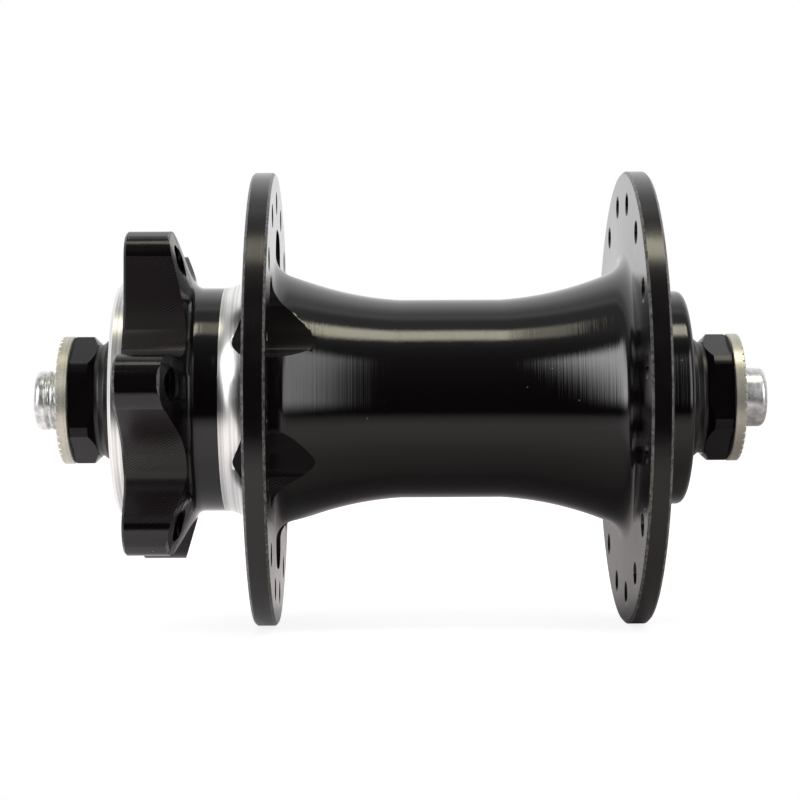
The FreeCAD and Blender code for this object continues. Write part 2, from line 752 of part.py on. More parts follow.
def bearing_balls(side, rotor_side):
    """The balls of one bearing, each a solid of its own, in one group."""
    centre = bearing_middle if rotor_side else -bearing_middle
    balls = []
    count = int(S.ball_count.number)
    for i in range(count):
        ball = doc.addObject("Part::Sphere", "%s_ball_%d" % (side, i + 1))
        bind(ball, "Radius", half(S.ball_diameter))
        turn = "%d * 360 / %s" % (i, S.ball_count.formula)
        pitch = half(S.ball_circle_diameter).formula
        ball.setExpression("Placement.Base.x", "%s * sin(%s)" % (pitch, turn))
        ball.setExpression("Placement.Base.z", "%s * cos(%s)" % (pitch, turn))
        ball.setExpression("Placement.Base.y", centre.formula)
        balls.append(ball)
    group = doc.addObject("Part::Compound", side + "_bearing_balls")
    group.Links = balls
    group.Label = side + "_bearing_balls"
    doc.recompute()
    return group


def bearing_seal(side, rotor_side, outboard):
    """Rubber seal held by the outer race, its lip just off the inner race."""
    inside = half(S.inner_race_land_diameter) + S.seal_lip_clearance
    outside = half(S.outer_race_land_diameter)
    far = half(S.bearing_width) - S.seal_inset
    near = far - S.seal_thickness
    if not outboard:
        near, far = -far, -near
    corners = [(near, inside), (near, outside), (far, outside), (far, inside)]
    name = "_outboard_seal" if outboard else "_inboard_seal"
    body = turned(side + name, corners)
    place(body, bearing_middle, rotor_side)
    return body


# All pieces

def side_pieces(side, rotor_side):
    pieces = [
        inner_race(side, rotor_side),
        outer_race(side, rotor_side),
        ball_cage(side, rotor_side),
        bearing_balls(side, rotor_side),
        bearing_seal(side, rotor_side, True),
        bearing_seal(side, rotor_side, False),
        end_spacer(side, rotor_side),
        locknut(side, rotor_side),
        face_washer(side, rotor_side),
    ]
    return pieces


parts = [hub_shell(), axle(), bearing_spacer_sleeve()]
parts += side_pieces("rotor_side", True)
parts += side_pieces("plain_side", False)
doc.recompute()

# Check everything before anything is written

faults = []
for thing in doc.Objects:
    if "Invalid" in thing.State or "Error" in thing.State:
        faults.append("%s is %s" % (thing.Label, thing.State))
for part in parts:
    if part.Shape.isNull() or not part.Shape.isValid():
        faults.append("%s has a bad shape" % part.Label)
if faults:
    raise RuntimeError("; ".join(faults))

os.makedirs("parts", exist_ok=True)
for part in parts:
    part.Shape.exportStep(os.path.join("parts", part.Label + ".step"))
    box = part.Shape.optimalBoundingBox()
    print("%-28s solids %d volume %9.1f  Y %.2f to %.2f  radius %.2f" % (
        part.Label, len(part.Shape.Solids), part.Shape.Volume, box.YMin, box.YMax, box.ZMax))
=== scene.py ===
# %% [markdown]
# # A bicycle front hub, dressed in Blender
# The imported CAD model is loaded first. It fixes the place and size of every piece, and its
# bodies carry whatever this file adds. The axle lies along Y, the brake rotor's side is at
# +Y, and +Z is up. Most of the visible pieces are built again here from finer meshes, since
# the CAD's facets would show on a glossy surface, and each new piece replaces its CAD node.

# %% Load the hub
import math

import bmesh
import bpy
from mathutils import Matrix, Vector


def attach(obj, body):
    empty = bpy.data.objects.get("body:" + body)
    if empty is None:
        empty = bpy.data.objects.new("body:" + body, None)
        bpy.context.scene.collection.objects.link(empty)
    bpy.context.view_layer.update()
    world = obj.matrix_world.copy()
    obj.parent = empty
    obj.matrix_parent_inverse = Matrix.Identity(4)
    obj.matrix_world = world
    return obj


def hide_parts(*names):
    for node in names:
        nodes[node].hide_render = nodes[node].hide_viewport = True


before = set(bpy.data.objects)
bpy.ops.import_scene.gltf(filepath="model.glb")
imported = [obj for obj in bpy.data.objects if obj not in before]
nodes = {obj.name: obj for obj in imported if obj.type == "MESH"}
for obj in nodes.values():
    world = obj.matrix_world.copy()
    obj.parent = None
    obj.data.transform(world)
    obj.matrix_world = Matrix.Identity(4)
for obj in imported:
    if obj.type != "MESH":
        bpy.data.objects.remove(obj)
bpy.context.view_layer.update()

MM = 0.001

# %% [markdown]
# ## Camera
# The photograph was taken straight from the side and from near by, so the near halves of the
# flanges look larger than the far ones. The camera's place and lens come from matching the
# flanges, washers and axle tips in the picture: it stands 293 mm from the axle, turned by half
# a degree and rolled by a quarter. The Standard view keeps colours as they are written. One
# function stands the camera at its place by its own axes, and stands the lamps later on.

# %% Camera at the photograph's viewpoint
PICTURE = 800
FOCAL_PIXELS = 1968.1
CAMERA_DISTANCE = 293.28 * MM
CAMERA_YAW = math.radians(0.475)
CAMERA_ROLL = math.radians(0.278)
AXLE_ABOVE_CENTRE = 0.198 * MM
CENTRE_COLUMN = 401.07
SENSOR = 36.0


def standing(x_axis, y_axis, z_axis, place):
    """The matrix of something that stands at a place with its own axes in these directions."""
    columns = (x_axis, y_axis, z_axis, place)
    return Matrix([[column[row] for column in columns] for row in range(3)] + [[0, 0, 0, 1]])


ahead = Vector((math.cos(CAMERA_YAW), -math.sin(CAMERA_YAW), 0))
level = Vector((-math.sin(CAMERA_YAW), -math.cos(CAMERA_YAW), 0))
upright = Vector((0, 0, 1))
right = level * math.cos(CAMERA_ROLL) - upright * math.sin(CAMERA_ROLL)
above = level * math.sin(CAMERA_ROLL) + upright * math.cos(CAMERA_ROLL)
place = ahead * -CAMERA_DISTANCE - above * AXLE_ABOVE_CENTRE

lens = bpy.data.cameras.new("camera")
lens.sensor_width = SENSOR
lens.lens = FOCAL_PIXELS / PICTURE * SENSOR
lens.shift_x = (PICTURE / 2 - CENTRE_COLUMN) / PICTURE
lens.clip_start = 0.01
camera = bpy.data.objects.new("camera", lens)
camera.matrix_world = standing(right, above, -ahead, place)
bpy.context.scene.collection.objects.link(camera)
bpy.context.scene.camera = camera
bpy.context.scene.view_settings.view_transform = "Standard"
print("camera at", [round(value, 4) for value in place], "lens", round(lens.lens, 2), "mm")

# %% [markdown]
# ## Colours and nodes
# Colours are written as the hex values that a paint program shows, and one function turns
# them to the linear values that Blender works in. Another adds a node to a material, sets its
# properties and joins its sockets. The last two make a material and join patterns to it.

# %% Colour and node helpers
def linear(hex_colour):
    """An sRGB hex colour as linear red, green, blue and alpha."""
    shares = [int(hex_colour[i:i + 2], 16) / 255 for i in (1, 3, 5)]
    return [s / 12.92 if s <= 0.04045 else ((s + 0.055) / 1.055) ** 2.4 for s in shares] + [1.0]


def add(tree, kind, sockets=None, **settings):
    """Add a node; a socket takes either a value or another node's output."""
    node = tree.nodes.new("ShaderNode" + kind)
    for name, value in settings.items():
        setattr(node, name, value)
    for socket, value in (sockets or {}).items():
        if isinstance(value, bpy.types.NodeSocket):
            tree.links.new(value, node.inputs[socket])
        else:
            node.inputs[socket].default_value = value
    return node


def new_material(name, **surface):
    """A material with its Principled shader, whose sockets take the given plain values."""
    material = bpy.data.materials.new(name)
    material.use_nodes = True
    tree = material.node_tree
    shader = tree.nodes["Principled BSDF"]
    for socket, value in surface.items():
        shader.inputs[socket.replace("_", " ")].default_value = value
    return material, tree, shader


def join(tree, shader, colour, roughness=None, normal=None):
    """Join patterns to the shader's colour and, where given, to its roughness and normal."""
    for name, socket in (("Base Color", colour), ("Roughness", roughness), ("Normal", normal)):
        if socket is not None:
            tree.links.new(socket, shader.inputs[name])


# %% [markdown]
# ## Patterns
# Every finish here is made of a few kinds of node. Each of these adds one to a tree and returns
# the socket that carries its result, so a pattern reads like a sum.

# %% Pattern helpers
def calc(tree, operation, *values):
    """Arithmetic on up to three numbers or sockets."""
    return add(tree, "Math", dict(enumerate(values)), operation=operation).outputs[0]


def remap(tree, value, from_min=0.0, from_max=1.0, to_min=0.0, to_max=1.0, **settings):
    """A value moved from one range to another and held at its ends."""
    return add(tree, "MapRange", {"Value": value, "From Min": from_min, "From Max": from_max,
                                  "To Min": to_min, "To Max": to_max}, **settings).outputs[0]


def noise(tree, place, spacing, detail, roughness=0.5, dimensions="3D"):
    """Cloudy noise whose patches lie about a spacing in metres apart."""
    return add(tree, "TexNoise", {"Vector": place, "Scale": 1 / spacing, "Detail": detail,
                                  "Roughness": roughness},
               noise_dimensions=dimensions).outputs["Fac"]


def bump(tree, height, strength, depth):
    """A bump from a height pattern, with a depth in metres."""
    return add(tree, "Bump", {"Strength": strength, "Distance": depth,
                              "Height": height}).outputs[0]


def mix_values(tree, factor, low, high):
    """A number between two others."""
    return add(tree, "Mix", {0: factor, 2: low, 3: high}, data_type="FLOAT").outputs[0]


def mix_colours(tree, factor, low, high):
    """A colour between two others, each a hex colour or a socket."""
    low, high = (linear(end) if isinstance(end, str) else end for end in (low, high))
    return add(tree, "Mix", {0: factor, 6: low, 7: high}, data_type="RGBA").outputs[2]


def two_tone(tree, value, low, high, start=0.0, end=1.0):
    """A ramp that goes from one hex colour to another as a value goes from start to end."""
    tone = add(tree, "ValToRGB", {0: value})
    stops = tone.color_ramp.elements
    stops[0].position, stops[0].color = start, linear(low)
    stops[1].position, stops[1].color = end, linear(high)
    return tone.outputs[0]


# %% [markdown]
# ## Where a point lies on the hub
# Marks left by a lathe run round the axle, so their pattern depends only on how far along the
# axle a point is and how far from it. This turns a point's place into those two distances, and
# makes the rings that a lathe leaves from them.

# %% Distances along the axle and from it
def place_in(tree):
    """A socket with a point's place in the hub's frame."""
    return add(tree, "TexCoord").outputs["Object"]


def lathe_place(tree, here):
    """A socket with a point's place along the axle and its distance from it."""
    split = add(tree, "SeparateXYZ", {0: here})
    flat = add(tree, "CombineXYZ", {0: split.outputs[0], 1: split.outputs[2]})
    radius = add(tree, "VectorMath", {0: flat.outputs[0]}, operation="LENGTH")
    return add(tree, "CombineXYZ", {0: split.outputs[1], 1: radius.outputs["Value"]}).outputs[0]


def rings(tree, both, spacing, strength, depth):
    """Bump from lathe rings, as noise that doesn't change round the axle."""
    return bump(tree, noise(tree, both, spacing, 3.0, 0.7, "2D"), strength, depth)


# %% [markdown]
# ## Gloss black anodising over turned aluminium
# The shell is forged, turned on a lathe and anodised. Anodising grows a clear oxide layer that
# is dyed black, so it reflects as a ceramic does, with no metal colour, and it keeps the fine
# rings that the lathe left. Real ones are finer than the picture can show, so they are drawn
# 0.3 mm apart, as noise that only changes along the axle and with the distance from it. They
# smear a reflection along the axle and leave it sharp across, which is why the lamps show as
# crisp lines along the barrel. The flanges' rims are handled most and are duller, so they show
# the same lamp wider and dimmer. A few pale specks of dust lie on all the black.

# %% Turned and anodised black
BLACK, SPECK = "#0f0c0d", "#8f8a85"
SPECK_SPACING, SPECK_SIZE = 1.5 * MM, 0.09 * MM
RING_SPACING, RING_DEPTH = 0.3 * MM, 0.02 * MM
HANDLED_SPACING = 3 * MM


def dust(tree, here, share):
    """A mask of small specks: this share of the pattern's cells holds one each."""
    cells = add(tree, "TexVoronoi", {"Vector": here, "Scale": 1 / SPECK_SPACING}, feature="F1")
    near = calc(tree, "LESS_THAN", cells.outputs["Distance"], SPECK_SIZE / SPECK_SPACING)
    pick = add(tree, "SeparateColor", {0: cells.outputs["Color"]})
    return calc(tree, "MULTIPLY", near, calc(tree, "LESS_THAN", pick.outputs[0], share))


def dusty_black(tree, here, share=0.06):
    """Dyed black with a few pale specks of dust on it."""
    return mix_colours(tree, dust(tree, here, share), BLACK, SPECK)


def turned_black(name, smoothest, roughest):
    """Black over turned metal, with a roughness that wanders between two values."""
    material, tree, shader = new_material(name, Roughness=(smoothest + roughest) / 2)
    here = place_in(tree)
    patchy = noise(tree, here, HANDLED_SPACING, 4.0)
    join(tree, shader, dusty_black(tree, here),
         remap(tree, patchy, to_min=smoothest, to_max=roughest),
         rings(tree, lathe_place(tree, here), RING_SPACING, 0.8, RING_DEPTH))
    return material


anodised_turned = turned_black("anodised_turned_aluminium", 0.05, 0.11)
anodised_rim = turned_black("anodised_rim_aluminium", 0.12, 0.26)
print("turned rings every", RING_SPACING / MM, "mm")

# %% [markdown]
# ## Milled black faces
# The gaps between the rotor tabs and the flange windows are cut by an end mill, whose teeth
# leave close slanting ridges. The real ones lie about 0.24 mm apart, which is too fine to show
# at this size, so they are drawn 0.36 mm apart. A sine wave at a slant, broken up by a slow
# noise, gives that hatch in the bump, and paints it into the tone as well: painted shade in
# the valleys and a painted highlight on the tops. Dust lies over it. The ridges scatter more
# light than turned metal does, so these faces are satin and a little paler.

# %% Milled and anodised black
RIDGE_SPACING, RIDGE_DEPTH = 0.36 * MM, 0.006 * MM
RIDGE_VALLEY_PAINTED_SHADE, RIDGE_TOP_PAINTED_HIGHLIGHT = "#161213", "#292325"
RIDGE_SLANT = 2.1
WANDER_SPACING, WANDER = 3 * MM, 0.4 * MM
FADE_SPACING, FADE_FROM, FADE_TO, FADED = 4 * MM, 0.36, 0.56, 0.1

anodised_milled, tree, shader = new_material("anodised_milled_aluminium", Roughness=0.27,
                                             Specular_IOR_Level=0.32)
here = place_in(tree)
split = add(tree, "SeparateXYZ", {0: here})
slant = calc(tree, "MULTIPLY_ADD", split.outputs[2], RIDGE_SLANT, split.outputs[1])
phase = calc(tree, "MULTIPLY_ADD", noise(tree, here, WANDER_SPACING, 1.0), WANDER, slant)
per_metre = 2 * math.pi / (RIDGE_SPACING * math.hypot(RIDGE_SLANT, 1))
ridge = calc(tree, "SINE", calc(tree, "MULTIPLY", phase, per_metre))
shown = remap(tree, noise(tree, here, FADE_SPACING, 1.0), FADE_FROM, FADE_TO, FADED)
height = calc(tree, "MULTIPLY", ridge, shown)
# Painted shading of the ridges: darker in the valleys, paler on the tops.
tone = mix_colours(tree, remap(tree, height, from_min=-1.0), RIDGE_VALLEY_PAINTED_SHADE, RIDGE_TOP_PAINTED_HIGHLIGHT)
join(tree, shader, mix_colours(tree, dust(tree, here, 0.03), tone, SPECK),
     normal=bump(tree, height, 0.5, RIDGE_DEPTH))
print("milling ridges every", round(RIDGE_SPACING / MM, 2), "mm")

# %% [markdown]
# ## Deep recesses with painted shade
# The inner sides of the flange windows and the threads of the bolt holes lie deep and look
# almost black, so they get a black with hardly any sheen: painted shade that stands in for
# the shade falling in them.

# %% Deep recesses with painted shade
recess_painted_shade, tree, shader = new_material("anodised_recess_painted_shade", Roughness=0.3,
                                             Specular_IOR_Level=0.12)
join(tree, shader, dusty_black(tree, place_in(tree), 0.03))
print("recess finish:", recess_painted_shade.name)

# %% [markdown]
# ## Bare machined aluminium
# After anodising, the rotor's pilot and a band of the neck are turned once more, which takes
# the black off and leaves bright metal. A metal's colour is its reflection, so this one is
# metallic with a pale base, and its fresh rings streak the reflection round the axle.

# %% Bare turned aluminium
STREAK_SPACING, FRESH_RING_SPACING, FRESH_RING_DEPTH = 0.35 * MM, 0.3 * MM, 0.006 * MM

bare_turned, tree, shader = new_material("bare_turned_aluminium", Metallic=1.0, Roughness=0.29)
both = lathe_place(tree, place_in(tree))
streak = noise(tree, both, STREAK_SPACING, 4.0, dimensions="2D")
join(tree, shader, two_tone(tree, streak, "#cccbca", "#f8f8f7", 0.32, 0.6),
     normal=rings(tree, both, FRESH_RING_SPACING, 0.5, FRESH_RING_DEPTH))
print("streaks in the bare metal every", round(STREAK_SPACING / MM, 2), "mm")

# %% [markdown]
# ## Outlines for the lathe
# Every round piece is turned from an outline, a closed list of places given as millimetres
# along the axle and millimetres from it. Straight runs need only their ends. Fillets and the
# barrel's flares are arcs, so a helper divides an arc into short steps.

# %% Outline helpers
def degrees_of(point):
    """The direction of a flat point, in degrees."""
    return math.degrees(math.atan2(point[1], point[0]))


def arc_run(centre, radius, start, end, steps):
    """Points on an arc from one angle to another, in degrees from the axle's direction."""
    turns = [math.radians(start + (end - start) * i / steps) for i in range(steps + 1)]
    return [(centre[0] + radius * math.cos(t), centre[1] + radius * math.sin(t)) for t in turns]


def mirrored(outline, middle=0.0):
    """The same outline facing the other way, about a place along the axle."""
    return [(2 * middle - along, radius) for along, radius in reversed(outline)]


def both_sides(outline):
    """The rotor side's outline with its side's name, and its mirror image for the plain side."""
    return ("rotor", outline), ("plain", mirrored(outline))


def as_object(name, mesh, materials):
    """Turn a finished bmesh into an object in the scene."""
    data = bpy.data.meshes.new(name)
    mesh.to_mesh(data)
    mesh.free()
    for material in materials:
        data.materials.append(material)
    piece = bpy.data.objects.new(name, data)
    bpy.context.scene.collection.objects.link(piece)
    return piece


def turned(name, outline, material, segments, shift=None):
    """A closed outline turned about the axle; shift may move a point by its angle."""
    mesh = bmesh.new()
    rows = []
    for along, radius in outline:
        row = []
        for i in range(segments):
            angle = 2 * math.pi * i / segments
            y, r = shift(along, radius, angle) if shift else (along, radius)
            point = (-r * math.sin(angle), y, r * math.cos(angle))
            row.append(mesh.verts.new([value * MM for value in point]))
        rows.append(row)
    for low, high in zip(rows, rows[1:] + rows[:1]):
        for i in range(segments):
            after = (i + 1) % segments
            mesh.faces.new((low[i], low[after], high[after], high[i]))
    bmesh.ops.recalc_face_normals(mesh, faces=mesh.faces)
    return as_object(name, mesh, [material])


def smooth(piece, sharp_degrees):
    """Shade smooth, and keep edges sharper than an angle crisp."""
    piece.data.polygons.foreach_set("use_smooth", [True] * len(piece.data.polygons))
    piece.data.set_sharp_from_angle(angle=math.radians(sharp_degrees))
    return piece


# %% [markdown]
# ## The shell's turned form
# The shell is one forging: a pilot that centres the rotor, a disc that becomes the six rotor
# tabs, a neck, two flanges for the spokes, a barrel that flares into both and a boss at the
# plain end. It is turned here as one outline, inside and out, as the real one is on a lathe.
# A small chamfer on each edge is part of the outline, because bare corners look like paper.

# %% Shell outline
SHELL_SEGMENTS = 240
PILOT_FACE, ROTOR_SEAT, TAB_BACK, TAB_ROOT = 41.4, 39.5, 33.1, 30.15
PILOT_RADIUS, PILOT_CHAMFER = 17.4, 0.5
TAB_TIP_RADIUS, NECK_RADIUS = 26.1, 16.55
ROTOR_FLANGE = (21.5, 18.3)
PLAIN_FLANGE = (-32.9, -35.9)
FLANGE_RADIUS, FLANGE_CHAMFER = 33.5, 0.35
BARREL_MIDDLE, BARREL_HALF_STRAIGHT, BARREL_RADIUS = -7.3, 7.4, 14.7
FLARE_RADIUS, FLARE_ROOT_RADIUS, FLANGE_FILLET = 48.7, 19.4, 3.5
NECK_FILLET, TAB_FILLET = 4.5, 1.5
BOSS_FACE, BOSS_RADIUS, BOSS_EDGE, BOSS_FILLET = -41.65, 15.85, 1.0, 0.6
BEARING_SEAT_RADIUS, BEARING_SHOULDER, CORE_RADIUS = 14.0, 32.0, 12.0
EDGE = 0.3
flare_start = BARREL_MIDDLE + BARREL_HALF_STRAIGHT


def flare_run():
    """From the rotor flange's inner face down its fillet and along the flare to the barrel."""
    face = ROTOR_FLANGE[1]
    span = Vector((face - flare_start, FLARE_ROOT_RADIUS - BARREL_RADIUS))
    middle = Vector((face + flare_start, FLARE_ROOT_RADIUS + BARREL_RADIUS)) / 2
    away = Vector((-span.y, span.x)).normalized()
    centre = middle + away * math.sqrt(FLARE_RADIUS ** 2 - (span.length / 2) ** 2)
    inner = FLARE_RADIUS - FLANGE_FILLET
    fillet_along = face - FLANGE_FILLET
    fillet_radius = centre.y - math.sqrt(inner ** 2 - (fillet_along - centre.x) ** 2)
    meets = degrees_of((fillet_along - centre.x, fillet_radius - centre.y))
    leaves = degrees_of((flare_start - centre.x, BARREL_RADIUS - centre.y))
    fillet = arc_run((fillet_along, fillet_radius), FLANGE_FILLET, 0, meets, 8)
    return fillet + arc_run(centre, FLARE_RADIUS, meets, leaves, 22)[1:]


def tab_back_run():
    """The tabs' inboard face, a cone from the tip's edge down to a fillet on the neck."""
    slope = math.atan2(TAB_BACK - TAB_ROOT, TAB_TIP_RADIUS - NECK_RADIUS)
    reach = TAB_FILLET * math.tan(math.radians(45) - slope / 2)
    centre = (TAB_ROOT - reach, NECK_RADIUS + TAB_FILLET)
    tip_edge = (TAB_BACK - EDGE * math.sin(slope), TAB_TIP_RADIUS - EDGE * math.cos(slope))
    return [tip_edge] + arc_run(centre, TAB_FILLET, -math.degrees(slope), -90, 6)


def flange_edge(outer, inner):
    """A flange's rim from its outer face to its inner face, towards smaller places."""
    step = FLANGE_CHAMFER
    return [(outer, FLANGE_RADIUS - step), (outer - step, FLANGE_RADIUS),
            (inner + step, FLANGE_RADIUS), (inner, FLANGE_RADIUS - step)]


outer_run = [(PILOT_FACE, BEARING_SEAT_RADIUS + EDGE),
             (PILOT_FACE, PILOT_RADIUS - PILOT_CHAMFER),
             (PILOT_FACE - PILOT_CHAMFER, PILOT_RADIUS), (ROTOR_SEAT, PILOT_RADIUS),
             (ROTOR_SEAT, TAB_TIP_RADIUS - EDGE), (ROTOR_SEAT - EDGE, TAB_TIP_RADIUS),
             (TAB_BACK + EDGE, TAB_TIP_RADIUS)]
outer_run += tab_back_run()
outer_run += arc_run((ROTOR_FLANGE[0] + NECK_FILLET, NECK_RADIUS + NECK_FILLET), NECK_FILLET,
                     -90, -180, 12)
outer_run += flange_edge(*ROTOR_FLANGE)
outer_run += flare_run()
outer_run += mirrored(flare_run(), BARREL_MIDDLE)
outer_run += flange_edge(*PLAIN_FLANGE)
outer_run += arc_run((PLAIN_FLANGE[1] - BOSS_FILLET, BOSS_RADIUS + BOSS_FILLET), BOSS_FILLET,
                     0, -90, 4)
outer_run += arc_run((BOSS_FACE + BOSS_EDGE, BOSS_RADIUS - BOSS_EDGE), BOSS_EDGE, 90, 180, 5)
inner_run = [(BOSS_FACE, BEARING_SEAT_RADIUS + EDGE), (BOSS_FACE + EDGE, BEARING_SEAT_RADIUS),
             (-BEARING_SHOULDER, BEARING_SEAT_RADIUS), (-BEARING_SHOULDER, CORE_RADIUS),
             (BEARING_SHOULDER, CORE_RADIUS), (BEARING_SHOULDER, BEARING_SEAT_RADIUS),
             (PILOT_FACE - EDGE, BEARING_SEAT_RADIUS)]
shell = turned("hub_shell_turned", outer_run + inner_run, anodised_turned, SHELL_SEGMENTS)
print("shell outline has", len(outer_run + inner_run), "places")

# %% [markdown]
# ## Cutters for the gaps, windows and holes
# The turned disc becomes six tabs when six gaps are milled through it, and the rotor flange is
# lightened by six kidney-shaped windows whose cutter runs on into the barrel's flare. Each
# cutter here is a closed prism or a small turned drill in one mesh, and a single Boolean takes
# them all away. The cut faces keep the cutter's material, so they show the mill's ridges or,
# in a drilled hole, the drill's rings.

# %% Cutter helpers
MILLED, DRILLED = range(2)


def on_hub(along, radius, degrees):
    """A point in millimetres at an angle from the top towards the camera's side."""
    turn = math.radians(degrees)
    return Vector((-radius * math.sin(turn), along, radius * math.cos(turn)))


def add_solid(mesh, stack, finish):
    """Add a closed solid to a mesh, from a stack of rings with the same number of points."""
    made = [[mesh.verts.new(point * MM) for point in ring] for ring in stack]
    count = len(stack[0])
    faces = [mesh.faces.new(made[0]), mesh.faces.new(reversed(made[-1]))]
    for low, high in zip(made, made[1:]):
        for i in range(count):
            after = (i + 1) % count
            faces.append(mesh.faces.new((low[i], high[i], high[after], low[after])))
    for face in faces:
        face.material_index = finish


def add_prism(mesh, sections, degrees, finish):
    """Add a prism from its sections, each a place along the axle and an outline round it."""
    stack = [[on_hub(along, math.hypot(*point), degrees + degrees_of(point))
              for point in outline] for along, outline in sections]
    add_solid(mesh, stack, finish)


def add_drill(mesh, profile, circle, degrees, finish, sides=32):
    """Add a turned cutter along the axle's direction, of (along, radius) places."""
    stack = []
    for along, radius in profile:
        centre = on_hub(along, circle, degrees)
        turns = [2 * math.pi * i / sides for i in range(sides)]
        stack.append([centre + Vector((radius * math.cos(turn), 0, radius * math.sin(turn)))
                      for turn in turns])
    add_solid(mesh, stack, finish)


def grown(outline, by, floor):
    """An outline moved outwards by a distance, but never nearer the axle than a floor."""
    moved = []
    for i, (x, y) in enumerate(outline):
        before, after = outline[i - 1], outline[(i + 1) % len(outline)]
        along = Vector((after[0] - before[0], after[1] - before[1])).normalized()
        point = Vector((x, y)) + Vector((along.y, -along.x)) * by
        if point.length < floor:
            point = point.normalized() * floor
        moved.append((point.x, point.y))
    return moved


# %% [markdown]
# ## The gap between two rotor tabs
# Each gap has one straight wall, parallel to the axis of the tab that it belongs to, which
# turns into the floor through a tight corner. Its other wall leans, so that the tab before it
# widens towards the neck, and sweeps into the floor in a wide curve. Each tab's tip is rounded
# almost all the way round its bolt hole.

# %% Gap outline
FIRST_TAB, TAB_COUNT = 24.65, 6
WALL_OFFSET, CORNER_RADIUS, GAP_FLOOR = 4.2, 3.0, 17.6
LEAN_DISTANCE, LEAN_DEGREES, SWEEP_RADIUS = 14.2, 27.0, 14.0
TIP_ROUNDING, PAST_TIP_DEGREES, OVERRUN = 3.6, 3, 2.0


def polar(radius, degrees):
    """A flat point from its distance and direction."""
    turn = math.radians(degrees)
    return radius * math.cos(turn), radius * math.sin(turn)


def tip_rounding(wall):
    """Rounding from a wall at some distance from the axle's line to the tip's circle."""
    inside = TAB_TIP_RADIUS - TIP_ROUNDING
    centre = (math.sqrt(inside ** 2 - (wall - TIP_ROUNDING) ** 2), wall - TIP_ROUNDING)
    return arc_run(centre, TIP_ROUNDING, 90, degrees_of(centre) + PAST_TIP_DEGREES, 14)


def turned_outline(points, degrees):
    """Outline points turned about the axle."""
    cos, sin = math.cos(math.radians(degrees)), math.sin(math.radians(degrees))
    return [(x * cos - y * sin, x * sin + y * cos) for x, y in points]


pitch = 360 / TAB_COUNT
corner_y = WALL_OFFSET + CORNER_RADIUS
corner = (math.sqrt((GAP_FLOOR + CORNER_RADIUS) ** 2 - corner_y ** 2), -corner_y)
corner_angle = degrees_of(corner)
lean = -(pitch + LEAN_DEGREES)
sweep_away = LEAN_DISTANCE + SWEEP_RADIUS
sweep_along = math.sqrt((GAP_FLOOR + SWEEP_RADIUS) ** 2 - sweep_away ** 2)
sweep = turned_outline([(sweep_along, sweep_away)], lean)[0]
sweep_angle = degrees_of(sweep)

near_wall = [(x, -y) for x, y in tip_rounding(WALL_OFFSET)]
far_wall = turned_outline(tip_rounding(LEAN_DISTANCE), lean)
outside = TAB_TIP_RADIUS + OVERRUN
near_out, far_out = degrees_of(near_wall[-1]), degrees_of(far_wall[-1])
gap = near_wall[::-1]
gap += arc_run(corner, CORNER_RADIUS, 90, 180 + corner_angle, 8)
gap += [polar(GAP_FLOOR, corner_angle + (sweep_angle - corner_angle) * i / 3) for i in (1, 2)]
gap += arc_run(sweep, SWEEP_RADIUS, 180 + sweep_angle, 270 + lean, 16)
gap += far_wall
gap += [polar(outside, far_out + (near_out - far_out) * i / 8) for i in range(9)]
print("gap outline has", len(gap), "points, floor from", round(sweep_angle, 1), "to",
      round(corner_angle, 1), "degrees")

# %% [markdown]
# ## The flange window
# A window is a short slot whose outer edge follows the flange. Its inner edge is straight and
# leans towards the axle, so one round end is wider than the other. The end mill runs on past
# the flange and meets the barrel's flare, which is wider there than the window's inner edge,
# so it scoops out a hollow that ends in a rounded tip on the barrel.

# %% Window outline
WINDOW_OUTER, WINDOW_LEAD = 25.2, 3.0
WIDE_END, WIDE_OFFSET = 4.1, 1.5
NARROW_END, NARROW_OFFSET = 3.6, -2.6


def end_centre(radius, offset):
    """The centre of a round end that touches the window's outer edge from inside."""
    return Vector((math.sqrt((WINDOW_OUTER - radius) ** 2 - offset ** 2), offset))


wide, narrow = end_centre(WIDE_END, WIDE_OFFSET), end_centre(NARROW_END, NARROW_OFFSET)
wide_angle, narrow_angle = degrees_of(wide), degrees_of(narrow)
reach = math.degrees(math.asin((WIDE_END - NARROW_END) / (wide - narrow).length))
inner_side = degrees_of(wide - narrow) + 90 + reach
window = arc_run(wide, WIDE_END, wide_angle, inner_side, 24)
window += arc_run(narrow, NARROW_END, inner_side, narrow_angle + 360, 24)
window += [polar(WINDOW_OUTER, narrow_angle + (wide_angle - narrow_angle) * i / 6)
           for i in range(1, 6)]
print("window outline has", len(window), "points, inner edge turned", round(inner_side - 180, 1))

# %% [markdown]
# ## Everything that is cut from the shell
# A small step out at a cutter's top makes the chamfer that a real edge has. The six bolt holes
# are tapped, so their cutter is grooved at the thread's 0.8 mm pitch. The thirty-two spoke
# holes are countersunk on both faces, so that a spoke's bend doesn't sit on a sharp edge.

# %% Cutters and the Boolean
BOLT_CIRCLE, BOLT_RADIUS, BOLT_PITCH, THREAD_DEPTH = 22.0, 2.1, 0.8, 0.38
BOLT_THREAD_START = TAB_ROOT + 0.95
SPOKE_CIRCLE, SPOKE_RADIUS, SPOKE_COUNT, SPOKE_SIDES = 29.0, 1.3, 16, 24
ROTOR_SPOKE_PHASE, PLAIN_SPOKE_PHASE = 3.3, -7.95
EDGE_BREAK, COUNTERSINK = 0.35, 0.45
WINDOW_CUT = (0.0, 26.0)
BESIDE_PILOT, PAST_SEAT, PAST_THREAD, PAST_FLANGE = 0.1, 1, 0.5, 0.4


def threaded_profile(start, end, radius):
    """A tapped hole's profile from one face to another, open past both."""
    crest = radius + THREAD_DEPTH
    profile = [(start - PAST_THREAD, crest), (start, crest)]
    for i in range(round((end - start) / BOLT_PITCH)):
        profile.append((start + (i + 0.5) * BOLT_PITCH, radius))
        profile.append((start + (i + 1) * BOLT_PITCH, crest))
    return profile + [(end + PAST_THREAD, crest)]


